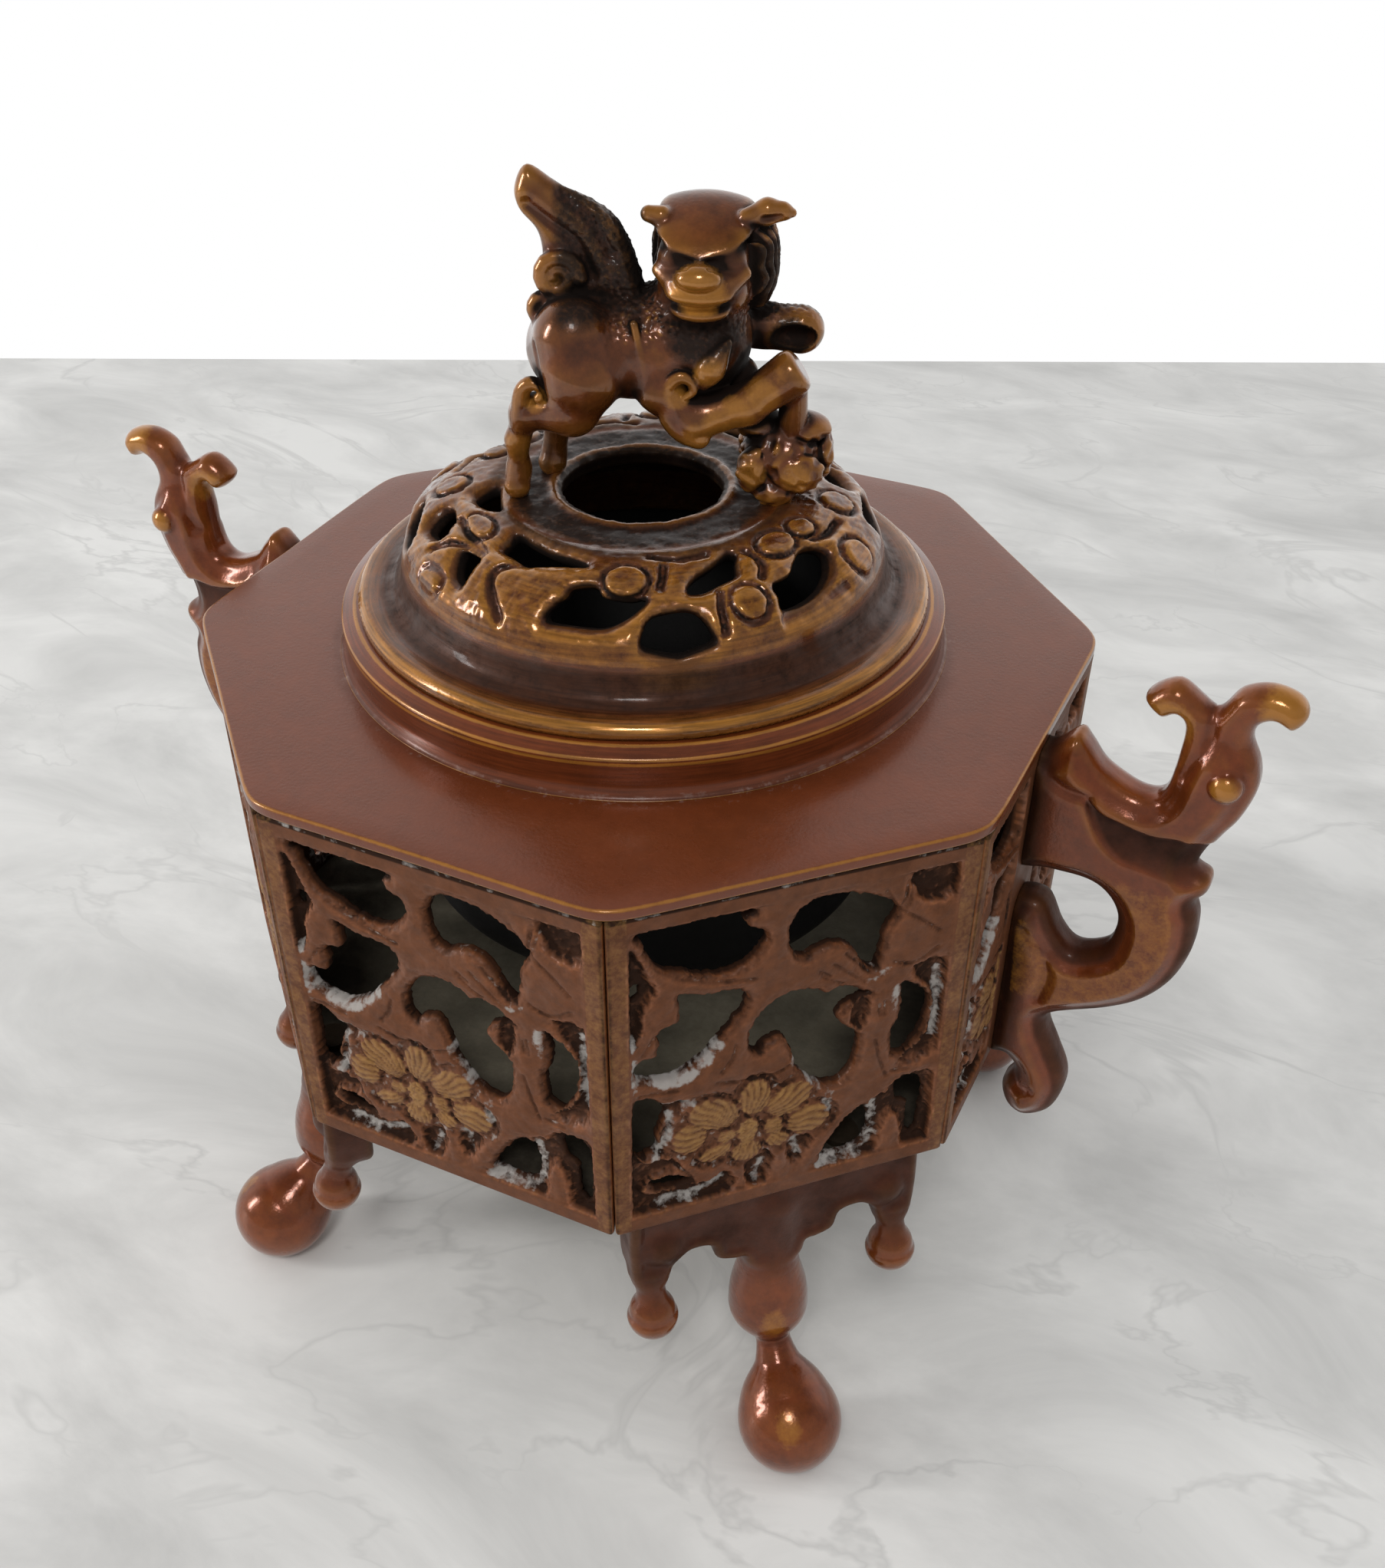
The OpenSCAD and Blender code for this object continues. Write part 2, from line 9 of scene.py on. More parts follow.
import bpy
import numpy as np
from mathutils import Matrix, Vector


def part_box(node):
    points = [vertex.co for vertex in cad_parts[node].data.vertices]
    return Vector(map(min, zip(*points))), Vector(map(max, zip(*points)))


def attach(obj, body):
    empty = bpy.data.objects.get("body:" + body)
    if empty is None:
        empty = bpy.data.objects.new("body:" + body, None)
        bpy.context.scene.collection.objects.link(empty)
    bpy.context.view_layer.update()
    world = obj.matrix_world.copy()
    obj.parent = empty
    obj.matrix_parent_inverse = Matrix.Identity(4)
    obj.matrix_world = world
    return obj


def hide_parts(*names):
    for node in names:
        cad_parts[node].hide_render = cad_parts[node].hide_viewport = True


bl_info = {
    "name": "Lion Incense Burner",
    "version": (1, 0, 0),
    "blender": (4, 5, 0),
    "location": "View3D > Sidebar > Burner",
    "description": "Dresses a packed incense burner in pierced, carved and patinated bronze",
    "category": "Object",
}

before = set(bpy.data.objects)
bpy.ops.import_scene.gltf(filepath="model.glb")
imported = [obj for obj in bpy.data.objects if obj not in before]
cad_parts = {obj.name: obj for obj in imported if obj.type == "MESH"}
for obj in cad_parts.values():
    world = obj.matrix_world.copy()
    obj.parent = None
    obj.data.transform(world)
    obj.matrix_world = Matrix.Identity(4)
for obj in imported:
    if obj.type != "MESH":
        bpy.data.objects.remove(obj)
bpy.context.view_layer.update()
MM = 0.001


def extent(node):
    """Lowest and highest corner of a CAD node, in millimetres."""
    low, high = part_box(node)
    return np.array(low) / MM, np.array(high) / MM


def linear(code):
    """Linear red, green and blue of an sRGB hex code."""
    parts = [int(code[i:i + 2], 16) / 255 for i in (1, 3, 5)]
    return tuple(c / 12.92 if c <= 0.04045 else ((c + 0.055) / 1.055) ** 2.4 for c in parts)


# Places that the frame gives
PLATE_LOW, PLATE_HIGH = extent("top_plate")
PANEL_LOW, PANEL_HIGH = extent("panel_right")
COLLAR_LOW, COLLAR_HIGH = extent("collar_ring")
BOWL_LOW, BOWL_HIGH = extent("fire_bowl")
LID_LOW, LID_HIGH = extent("lid")
PLATE_TOP = PLATE_HIGH[2]
BODY_LOW = PANEL_LOW[2]
FACE_TOP = PANEL_HIGH[0]
SEAT = COLLAR_HIGH[2]
LID_TOP = LID_HIGH[2]
FLANGE_THICK = 1.4
PLATE_LAP = 3.5
AROUND = 256
CORNER_STEPS = 4

SIDES = 8
SIDE_ANGLE = 360 / SIDES
HALF_ANGLE = math.radians(SIDE_ANGLE / 2)
LID_TURN = 25.5

PANEL_ANGLES = {
    "panel_right": 0, "panel_back_right": 45, "panel_back": 90, "panel_back_left": 135,
    "panel_left": 180, "panel_front_left": 225, "panel_front": 270, "panel_front_right": 315,
}
FOOT_ANGLES = {
    "foot_front_right": 315, "foot_back_right": 45, "foot_back_left": 135, "foot_front_left": 225,
}
HANDLE_ANGLES = {"handle_right": 0, "handle_left": 180}

# Panel: across from its middle, up from its lower edge
PANEL_LEAN = 1.0
PANEL_THICK = 2.4
PANEL_SEAM = 0.1
FIELD_HALF = 20.5
FIELD_LOW = 2.7
FIELD_HIGH = 50.4
PANEL_HALF = 23.7
PANEL_AREA = ((-24, -1), (24, 55), 0.15)
LEAF_LEVEL = -0.45
GROUND_LEVEL = -1.5
VEIN_DEPTH, VEIN_WIDTH = 0.32, 0.22
HANDLE_STRIP = 11.0
OPENINGS = [
    [(-18.6, 50), (-18.6, 47.5), (-17.6, 44.8), (-15.8, 42.8), (-13.2, 41.9), (-11.6, 40.9),
     (-8.3, 40.5), (-5.9, 41.2), (-4, 43.2), (-3.7, 45.6), (-5.7, 46.9), (-6.4, 48.3), (-5.8, 49.7)],
    [(-0.5, 46.2), (1.2, 48.6), (4.1, 49.1), (7.7, 48.4), (10.6, 47), (13.2, 44.3), (11.8, 41.3),
     (11.5, 38.6), (10.8, 35.8), (9.4, 36.6), (8, 38.8), (6.8, 40.6), (5, 41.2), (2.7, 40.6),
     (1.2, 40.2), (-0.2, 41.6), (-0.7, 44)],
    [(-14.2, 39), (-11.7, 38.1), (-6.6, 37.4), (-5.8, 34.6), (-8, 31.3), (-9.9, 28.8), (-12.4, 26.4),
     (-15, 25.3), (-18.3, 25.8), (-19.8, 27), (-19.5, 29.3), (-17.3, 29.7), (-16.8, 31.3),
     (-16.9, 33.1), (-15.9, 34.3), (-14.3, 34.7), (-14.2, 36.8)],
    [(-1.3, 34.7), (0.5, 35.2), (2.7, 34.7), (4.6, 33.6), (6.8, 34), (9.3, 32.6), (10.4, 31.7),
     (7.8, 30.7), (6.3, 29.2), (7.1, 27.4), (9.3, 25.2), (9.3, 22.4), (8.8, 19.4), (7.2, 17.4),
     (5, 17.6), (3.2, 19.1), (1.2, 21.8), (0.6, 24.4), (-0.2, 26.8), (-1.6, 27.9), (-3.2, 27.4),
     (-4, 26.2), (-5, 27), (-5.2, 30), (-4.5, 31.8), (-3.2, 33.6)],
    [(14.8, 32.2), (16.8, 31), (18.5, 29), (18.8, 26.5), (18.1, 23.2), (16.2, 19.7), (14.2, 20.2),
     (13.9, 24), (14.8, 27.2), (14.8, 30)],
    [(-20, 22.4), (-18.6, 22.9), (-16.6, 21.6), (-16.1, 19.2), (-17.1, 15.8), (-17, 13.2),
     (-19.6, 12.6), (-20.3, 13.6), (-20.3, 18)],
    [(5.2, 4.2), (6.8, 7.7), (9.2, 10.9), (11, 11.9), (11.9, 9.2), (11.9, 6), (10.5, 3.8), (7.3, 3.6)],
    [(15.7, 14), (18.1, 14.5), (19.6, 12), (19.5, 7.5), (19, 3.8), (17.8, 4.5), (17.5, 9.5),
     (15.9, 10.6)],
    [(-18.2, 7.7), (-16.3, 8.1), (-13.3, 7.1), (-13, 5.6), (-16.6, 5.6)],
    [(-20.2, 40.8), (-19.2, 41.6), (-18.9, 39.9), (-20.1, 39.2)],
]
GROUNDS = [
    [(-20.6, 46.5), (-19.4, 45.5), (-18.4, 42.5), (-17.6, 40.8), (-19.2, 38), (-19.4, 35), (-20.6, 33.6)],
    [(-20.6, 13), (-19, 11.6), (-16.2, 11.2), (-14.6, 10.4), (-15.4, 9.2), (-17.6, 9), (-19.2, 7.6),
     (-18.6, 5.6), (-13.2, 5.2), (-10, 5.4), (-8, 6), (-7.6, 2.8), (-20.6, 2.8)],
    [(-16.2, 21.2), (-12.4, 20.6), (-12.8, 19.6), (-15.4, 19), (-15.6, 16), (-14.6, 13.6), (-16, 12.2),
     (-17.2, 12.8), (-16.4, 15.4), (-15.8, 18.6)],
    [(12.2, 12.6), (14, 13.2), (15.4, 15.2), (19.4, 15.4), (20, 12), (20.2, 3.2), (17.4, 2.6), (17, 5),
     (16.2, 8), (14.6, 9.6), (13.4, 7.4), (13, 4.4), (12.2, 2.8), (5, 2.8), (7, 5)],
    [(15, 50), (20.2, 49.6), (20.2, 45.8), (17, 45.2), (15.4, 46.8)],
    [(16.4, 34.6), (19.6, 35), (20, 33), (19.8, 20.6), (17.4, 18.2), (15.4, 18.4), (17.4, 20),
     (19.2, 23.4), (19.4, 27), (18.6, 30.4), (16.8, 32.6)],
    [(0.6, 9.8), (4, 9.2), (2.6, 6.6), (1.4, 4.8), (0.8, 6.6)],
    [(9.4, 32), (10.2, 30.4), (9.6, 27.6), (9, 26.4), (8.2, 28.2), (8.6, 30.2)],
    [(-5, 7.6), (-3, 8.6), (-1.8, 6.8), (-2.6, 3.4), (-4.6, 3.2)],
]
VEINS = [
    [(3.2, 37.9), (4.6, 36.8)], [(3.6, 36.9), (6.4, 34.9)], [(5, 38.6), (9, 34.6)],
    [(6.6, 39.6), (10, 35.4)], [(11.6, 30), (11.8, 28)], [(12.3, 30.4), (12.3, 28.2)],
    [(13.6, 44.4), (16, 42.6), (18.8, 40)], [(13, 36.6), (16, 35.8), (18.8, 37.6)],
    [(13.4, 44.6), (14, 49)], [(13.8, 44.8), (15.2, 49)], [(13, 44.6), (11.2, 48.2)],
    [(-19, 31), (-17.4, 33.4)], [(-9, 25), (-7.6, 27), (-7.2, 29)],
    [(-9.6, 23.4), (-4, 22.2), (1, 23.4)], [(-14.6, 10), (-13.2, 8.2), (-12.4, 6.4)],
    [(-15, 42), (-10, 40), (-5, 39.2)], [(11.4, 24), (12.4, 20), (13.4, 17)],
    [(14, 17.6), (16.6, 17)], [(-19.4, 24.2), (-14.6, 23.6)],
]
PETALS = [
    (-9.8, 17.8, 3.1, 2.3, 150), (-4.4, 19, 1.9, 2.7, 0), (0.3, 17.2, 2.9, 2.2, 35),
    (3, 12.6, 2.6, 2.3, 0), (-13, 14.4, 2, 2.3, 0), (-9.5, 10.7, 2, 1.2, 15),
    (-5.3, 9.7, 1.8, 1.7, 0), (-1.1, 10.3, 1.5, 1.2, -20), (-8.1, 13.2, 1.2, 1.1, 0),
    (-1.7, 12.8, 1.2, 1.6, 20), (-5.2, 13.4, 1.3, 1.9, 0),
]
PETAL_SPREAD = 1.2
FLOWER_MIDDLE = (-5.2, 13.6)
CHALK_LINES = [
    [(-19.8, 26.4), (-15, 24.9), (-12.4, 25.9), (-9, 29.4)], [(-16.2, 21.4), (-12.6, 20.8)],
    [(-15.4, 19), (-15.8, 15.4), (-17.2, 12.4)], [(-17, 3.4), (-12, 3.4), (-8.4, 5)],
    [(1.4, 8.6), (2, 6)], [(5, 3), (10.6, 3.2), (12.6, 6), (12.2, 11.5)], [(10.2, 34.6), (12.8, 35.4)],
    [(13.4, 33.4), (13.6, 28.6)], [(-20.2, 33), (-20.2, 24.6)], [(-3.8, 3.2), (-2.8, 6)],
    [(19.6, 22), (19.6, 33)], [(5.6, 16.6), (5.8, 13.4)], [(0.6, 23.4), (4, 18.6)],
]

# Foot: across from its middle, out from the axis, up from the floor
BRACKET_FACE = 54.6
BRACKET_DEPTH = 6.4
BRACKET_AREA = ((-26, -22), (26, 8), 0.2)
FOOT_BOX = ((-21.5, 46, 0), (21.5, 69, BODY_LOW))
BRACKET_EDGE = [
    (20.4, 0), (20.5, -7), (20, -12.6), (18, -14.8), (15.6, -13.6), (14.2, -10), (12.2, -8.6),
    (9.4, -9), (8.4, -11.8), (6, -12.8), (4.6, -13), (3.6, -15), (0, -15.6),
]
# Balls of the leg, the neck, the drop and a pendant, each with its radius
LEG = [
    (0, 51.4, 42, 3.8), (0, 51.6, 35, 3.7), (0, 51.9, 29, 4.4), (0, 52.2, 24.6, 5.4), (0, 52.3, 22, 5.6),
]
NECK = [(0, 52.3, 21.6, 4.4), (0, 54, 17.2, 2.6), (0, 55.4, 15.2, 2.5), (0, 56.8, 13.4, 2.9)]
DROP = [
    (0, 55.8, 14.6, 2.4), (0, 57.4, 12.4, 3.5), (0, 58.9, 10.4, 5), (0, 60.2, 8.5, 6.4),
    (0, 61.3, 7.2, 7.1), (0, 61.8, 6.9, 7.3), (0, 62, 6.8, 7.3),
]
PENDANT = [(17.6, 52.4, 35.4, 2.7), (17.6, 53.2, 32.8, 2), (17.6, 53.8, 30.6, 2.3), (17.6, 54, 28.1, 3.5)]
CLOUD_SWELL = (16, 52.9, BODY_LOW - 7, 2.8)
# Painted amber sheen on the middle of the drop and of the bulb
PAINTED_SHEEN_SPOTS = [(-2.2, 66.4, 11.4), (-1.2, 57.4, 22.6)]

# Handle: out from the axis, up from the top plate
HANDLE_OUTLINE = [
    (-2, -2.4), (1, -2.2), (4, 0.6), (5.7, -0.7), (7.7, -3.2), (9.9, -4.6), (12.7, -5.7), (14.9, -5.4),
    (16, -3.4), (16.6, 1.6), (16.6, 5.2), (15.4, 6.6), (13.5, 5.8), (11.3, 8.2), (14.9, 10.9), (19.6, 8.5),
    (22.1, 11.6), (25.4, 12.9), (28.8, 12.2), (30.1, 10.2), (28.8, 8.1), (26.6, 8.8), (24.9, 7.7),
    (24.6, 5.4), (26, 2.1), (26.4, -1.2), (25.2, -5.7), (23.5, -9), (21.3, -14.2), (23.3, -15.9),
    (23.3, -17.9), (22.1, -20), (22.9, -22.9), (22.9, -27.9), (21.3, -33.4), (18.2, -37.9), (13.8, -41.2),
    (6.6, -45.1), (6, -47.9), (7.7, -51.8), (9.6, -56.2), (9.6, -59.6), (8.2, -63.4), (4.9, -65.6),
    (2.1, -64.3), (1, -60.7), (2.6, -57.4), (1, -55), (-2, -54), (-2, -40), (-2, -28), (2.9, -26.2),
    (5.7, -30.9), (8.2, -33), (11.8, -31.2), (12.9, -27.9), (12.7, -24.8), (11, -22.1), (8.2, -20.7),
    (3.2, -20.7), (-2, -20.7), (-2, -10),
]
HANDLE_HALF = 4.0
HANDLE_AREA = ((-4, -70), (34, 17), 0.2)
HANDLE_BOX = ((-3, -5.2, -67), (31.5, 5.2, 14))
HANDLE_EYE = (22.9, -0.2)
HANDLE_TIPS = [(14.6, 5.8), (28.6, 10.8)]
HANDLE_GROOVES = [
    [(19.8, 9.4), (19.8, 5), (19, 1.6), (17.8, -0.9)], [(1.4, -4.8), (4, -6.4), (7, -6.8)],
    [(4.6, -41.6), (5.4, -37), (3.8, -33), (1.4, -30.6)], [(2.6, -58), (3.8, -59.6), (5.2, -59)],
]
HANDLE_RECESS = [
    (6.8, -7), (8.9, -8.6), (11.2, -9.2), (13.7, -9.8), (16, -10), (18.8, -9.6), (21, -10), (24, -10.8),
    (24, -15.6), (21.2, -16.9), (19.4, -16.6), (17, -15.9), (14.5, -15.4), (12.1, -15), (9.4, -12.8),
    (7.6, -9.6),
]

# Lid: angle from its front in degrees, and distance from the axis
RING_RADIUS = 17.65
VENT_RADIUS = 10.65
DOME_RADIUS = 32.0
DOME_RISE = 8.6
LID_WALL = 1.8
SPIGOT_RADIUS = 31.4
DOME_SPRING = LID_TOP - DOME_RISE
DOME_WIDTH = DOME_RADIUS - RING_RADIUS
LID_AREA = ((-36, -36), (36, 36), 0.2)
LID_SECTION_AREA = ((6, LID_LOW[2] - 4), (42, LID_TOP + 4), 0.1)
FOLD_DEPTH, FOLD_WIDTH = 0.95, 0.5
LID_OPENINGS = [
    [(-49, 20.1), (-40, 20.1), (-30, 20.6), (-20, 21.1), (-17, 21.7), (-25, 22.4), (-31, 23.3), (-35, 24),
     (-42, 23.6), (-47, 23.4), (-48.5, 21.8)],
    [(-18, 25.6), (-12, 24.8), (-9, 26.2), (-2, 26.7), (2, 26.3), (1, 27.4), (-3, 29), (-8, 30), (-15, 30.1),
     (-22, 30), (-21, 28.2), (-19, 27)],
    [(1, 30.5), (3, 28.9), (7, 28.4), (12, 28.3), (15, 29), (17, 30.5), (17.5, 31.3), (14, 31.6), (9, 31.8),
     (4, 31.6), (1, 31.3)],
    [(14, 25.2), (17, 23.8), (22, 22.6), (28, 21.3), (32, 20.7), (33.5, 21.4), (31, 23), (29, 24.7),
     (24, 25.3), (18, 26.1), (14, 26)],
    [(37, 27.5), (43, 27.2), (48, 26), (53, 25.2), (58, 26), (60, 27.5), (57, 29), (52, 30), (46, 30.5),
     (40, 30.6), (36, 30.2), (36.5, 28.8)],
    [(-57, 26.3), (-50, 26), (-49, 27.5), (-48, 29.6), (-52, 29.5), (-55, 28.5), (-57, 27.3)],
    [(-82, 26), (-80, 25), (-74, 25), (-70, 26), (-68, 27.2), (-72, 28.4), (-78, 28.8), (-81, 27.5)],
    [(-90, 18.9), (-84, 18.6), (-76, 18.8), (-70, 19.2), (-71, 20), (-77, 21.3), (-84, 22), (-88, 20.7)],
    [(-95, 29.4), (-86, 29.4), (-79, 30), (-77, 31), (-82, 31.6), (-92, 31.6)],
]
LID_BUDS = [
    (-3.5, 23.8, 2.7, 2.5), (48, 22.4, 2.9, 2.1), (62, 22.6, 2, 1.8), (28, 28.2, 2.3, 2), (67, 29.4, 2.6, 2),
    (-95, 25, 2.4, 2.3), (-62, 22.6, 3, 1.7), (-58, 30.7, 2.6, 1.1),
]
LID_FOLDS = [
    [(-37, 24.2), (-41, 26), (-40.5, 27.6), (-37, 29.2), (-33, 30.6)],
    [(-50, 25), (-57, 25.4), (-63, 26.8), (-66, 28.6)], [(8, 21.4), (7, 23.4), (6, 25)],
    [(35, 31), (45, 31.3), (57, 30.9)], [(60, 24.6), (66, 25.6), (74, 25.8)],
    [(-72, 24.2), (-60, 24.5), (-52, 24.6)], [(4, 19.4), (14, 20.4), (24, 20.2)],
    [(37, 21.6), (38, 24), (35, 26)], [(20, 30.6), (20.5, 28.4), (22, 26.6)],
]

# Lion: along its body to the right, away from its face, and up from the top plate, with radii
LION_TRUNK = [(-8, 0, 40, 6.2), (0, 0, 40.5, 6.2), (7, 0, 41, 6.8)]
NEAR_FORELEG = [
    (2.2, -3.5, 40, 3.4), (2.4, -5, 36.4, 2.7), (6.5, -5.5, 32.6, 2.6), (13, -5.5, 34.6, 2.4),
    (18.4, -5, 38.4, 2.9),
]
LION_LIMBS = [
    [(-8, -3.5, 42.5, 5), (-7.2, -4.5, 38, 5), (-8.5, -5, 34, 3.4), (-14.2, -4.2, 33, 2)],
    [(-14.2, -4.2, 33, 1.9), (-15.6, -3.4, 29, 1.4), (-15.7, -2.6, 24.6, 1.4), (-16, -3, 22.4, 1.7)],
    [(-7.5, 3.5, 38, 4.5), (-8.5, 4.5, 32, 2.8), (-11, 4.8, 28.5, 1.8), (-11.8, 4.8, 23, 1.5),
     (-12, 4.4, 22.2, 1.8)],
    NEAR_FORELEG,
    [(9, 4, 42, 3.5), (15, 4.5, 41, 2.7), (20, 4, 40.6, 3)],
    [(6, 0, 42, 6.5), (8, -0.5, 48, 5.6)],
]
SOLE_WAY = (0.82, 0, 0.57)
SOLE_REACH = 1.6
PAW_HOLLOW = (19.2, 1.2, 40.4)
LION_BALL = (17.8, -1, 26.4, 5)
BALL_STALKS = [[(14, 0, 31.5, 2.6), (12, 0, 36, 2.8)], [(19, -3, 31, 1.9), (19, -4, 35.6, 1.7)]]
LION_PETALS = [
    (14, -4.6, 25.4, 2, 1.7, 3.2), (19.5, -4.9, 25.2, 3.5, 1.8, 2.8), (20, -1.5, 30, 4, 3.2, 2),
    (15, -1, 30.4, 3, 3, 2), (17, -4.6, 22.4, 2.6, 1.8, 1.8), (23, 0, 26, 1.6, 3, 3.5),
    (14.6, 3, 25.4, 2.2, 1.8, 3.2), (19.4, 3.4, 25.2, 3.4, 1.8, 3),
]
LION_RIDGES = [
    [(-0.6, -6, 45, 0.5), (0.3, -6.5, 41, 0.6), (1.1, -6.4, 37.5, 0.6), (2.4, -6, 34, 0.6)],
    [(5.5, -7.1, 36.2, 0.45), (6.5, -7.1, 37, 0.55), (6.2, -7.1, 38.3, 0.7), (4.9, -7, 38.8, 0.85),
     (3.5, -6.9, 37.8, 1), (3, -6.7, 35.8, 1.1), (3.6, -6.6, 33.4, 1.3), (5.3, -6.6, 31.6, 1.5),
     (7.2, -6.6, 30.8, 1.5)],
    [(7.6, -6, 38, 1.3), (8.6, -6.2, 39.6, 1.9), (9.6, -6.2, 41.2, 1.3), (10.6, -5.8, 42.6, 0.6)],
    [(-12.3, -6.4, 35.8, 0.7), (-11.7, -6.4, 36.6, 0.75), (-12.4, -6.3, 37.5, 0.85), (-13.6, -6, 37.4, 0.95),
     (-14.5, -5.6, 36.2, 1.05), (-14.8, -5.2, 34, 1.2), (-15, -4.6, 31.6, 1.2)],
]
LION_CREASES = [
    [(9, -7.4, 36.8, 0.6), (11.4, -6.4, 38, 0.7), (13, -4.6, 40, 0.8)],
    [(-13, -5, 42, 0.5), (-12.6, -6.4, 39, 0.5), (-11.2, -6.6, 36, 0.5)],
]
TAIL_OUTLINE = [
    (-13, 62), (-14.6, 59.5), (-14.2, 57), (-12.2, 54.6), (-11.6, 52), (-11.8, 48.6), (-10.6, 45.4),
    (-6, 43.6), (-0.6, 44.6), (0.3, 48), (-0.2, 50), (-1.1, 52.7), (-2.7, 55.6), (-5.5, 57.8), (-9.5, 59.8),
]
TAIL_AREA = ((-20, 38), (6, 66), 0.2)
TAIL_CURLS = [((-9.8, -2, 49.4), 2.6, 1.1), ((-11.6, -1.6, 45.2), 1.7, 1)]
TAIL_GROOVES = [
    [(-13.2, 57.8), (-10.6, 55.8), (-7.4, 53.4), (-5.6, 49.6)], [(-9, 58.8), (-5.6, 56), (-3.2, 52)],
]
LION_GOLD = [
    (7, -8.2, 49.6, 5.6, 0.8), (8.4, -7.5, 39.6, 3.4, 0.7), (9.5, -7.5, 32.6, 4, 0.7), (15, -7, 36.4, 4, 0.7),
    (4.6, -7.6, 36.6, 3, 0.65), (-13, -6.6, 35.6, 3, 0.65), (-15.4, -4.8, 28.5, 4, 0.6),
    (-9.8, -3, 49.4, 3.6, 0.55), (-14.4, 0, 58.5, 3.4, 0.6), (17, -1.5, 56, 3, 0.5), (14, -6, 25.2, 3.2, 0.7),
    (19.6, -6.4, 25, 3.6, 0.7), (-4, -6.6, 36, 4, 0.4), (12, -7.3, 34.2, 4, 0.7), (17.6, -6, 38.6, 3.4, 0.6),
    (7, -7.4, 31.6, 3.4, 0.65),
]
LION_BOX = ((-19, -12, LID_TOP - PLATE_TOP), (26, 10, 63))
HEAD_MIDDLE = (7.9, -1.0, 52.1)
HEAD_FORWARD = (-0.12, -0.985, -0.12)
# Head: to the lion's right of its face, forward and up from its middle, with radii
CROWN_SLOPE = 23
CHEEK = [(3.2, 5.4, -1.6, 1), (5.2, 3.8, -0.7, 0.7)]
EYE_SLIT = [(1.4, 7.2, 1.3, 0.3), (3.1, 6.2, 0.9, 0.6), (5.6, 4.4, 1.2, 0.45)]
MOUTH_SLIT = [(0, 8.3, -3.4, 0.32), (2.6, 7.5, -3.35, 0.36), (4.6, 5.4, -2.6, 0.36), (5.6, 4, -2, 0.3)]
LONG_EAR = [(-5, 0, 4.4, 1.2), (-7.4, -0.4, 5.2, 1.5), (-9.2, -0.6, 5.2, 1), (-10.3, -0.7, 5, 0.5)]
SHORT_EAR = [(5.2, 0, 4.2, 1.3), (6.7, -0.2, 4.4, 1)]
EAR_HOLLOW = [(-7.2, 1.4, 4.8, 0.6), (-9, 0.8, 5, 0.4)]

# Stage, in metres: the table's edges before it is turned, the camera, and each lamp's sides, watts and place
TABLE_NEAR, TABLE_FAR, TABLE_WIDE = -0.6, 0.345, 1.2
TABLE_TURN = math.radians(25.5)
CAMERA_PLACE = (0.09591, -0.18586, 0.22556)
CAMERA_BACK = (0.3496, -0.7334, 0.583)
CAMERA_RIGHT = (0.9018, 0.432, 0.0028)
CAMERA_LENS, CAMERA_SENSOR, CAMERA_CLIP = 40.46, 36, 0.01
LAMPS = {
    "window": ((0.1, 0.34), 2.3, (-0.66, -0.42, 0.34)),
    "room": ((0.2, 0.2), 2.6, (0.24, -0.62, 0.9)),
}
LAMP_AIM = (0, 0, 0.08)


def length_property(name, description, usual, least, most):
    """Length property in metres."""
    return bpy.props.FloatProperty(
        name=name, description=description, default=usual, min=least, max=most,
        subtype="DISTANCE", unit="LENGTH",
    )


class BurnerSizes(bpy.types.PropertyGroup):
    """Sizes of the finish, apart from those that the frame gives."""

    edge_round: length_property(
        "Edge rounding", "Radius worn onto the edges of the top plate", 0.0004, 0.0001, 0.001,
    )
    fine_step: length_property("Fine step", "Grid spacing of the lion's surface", 0.00026, 0.00015, 0.002)
    panel_step: length_property("Panel step", "Grid spacing of the panels' surface", 0.0003, 0.0002, 0.002)
    cast_step: length_property(
        "Cast step", "Grid spacing of the feet's and handles' surface", 0.00034, 0.0002, 0.002,
    )
    lid_step: length_property("Lid step", "Grid spacing of the lid's surface", 0.000425, 0.0002, 0.002)


def colour_property(name, description, code):
    """Colour property whose default is an sRGB hex code."""
    return bpy.props.FloatVectorProperty(
        name=name, description=description, default=linear(code), size=3, min=0, max=1, subtype="COLOR",
    )


class BurnerColours(bpy.types.PropertyGroup):
    """Colours of the patina, the worn metal, the dirt and painted shade, the table and the light."""

    plate: colour_property("Plate", "Brown patina of the top plate", "#6e3416")
    panel: colour_property("Panel", "Orange-brown patina of the panels", "#8d532f")
    cast: colour_property("Castings", "Red-brown patina of the feet and handles", "#763818")
    lid: colour_property("Lid", "Brown patina of the lid and the lion", "#683617")
    # Also the paint of the painted golden sheen on the lid's front and the painted amber sheen on the feet
    worn: colour_property("Worn metal", "Yellow bronze where the patina is rubbed away", "#b0762c")
    gilt: colour_property("Flower", "Brass yellow of the panels' flowers", "#a67c46")
    # The dark colour of dirt, soot and dark hair, and also of painted shade
    dirt_and_shade: colour_property("Dirt", "Dark dirt in the hollows", "#1b1512")
    chalk: colour_property("Deposit", "Pale dry deposit in the openwork", "#b4aea8")
    soot: colour_property("Soot", "Burnt inside and outside of the fire bowl", "#1c1a18")
    dust: colour_property("Dust", "Olive dust on the base plate", "#8f8672")
    brass: colour_property("Rivets", "Dulled brass of the rivets and pins", "#40362a")
    table: colour_property("Table", "Pale stone under the burner", "#e6e4e0")
    daylight: colour_property("Daylight", "Soft light of the room", "#eef0f2")


def colours():
    """The scene's colour settings."""
    return bpy.context.scene.burner_colours


def sizes():
    """The scene's size settings."""
    return bpy.context.scene.burner_sizes


# Distances

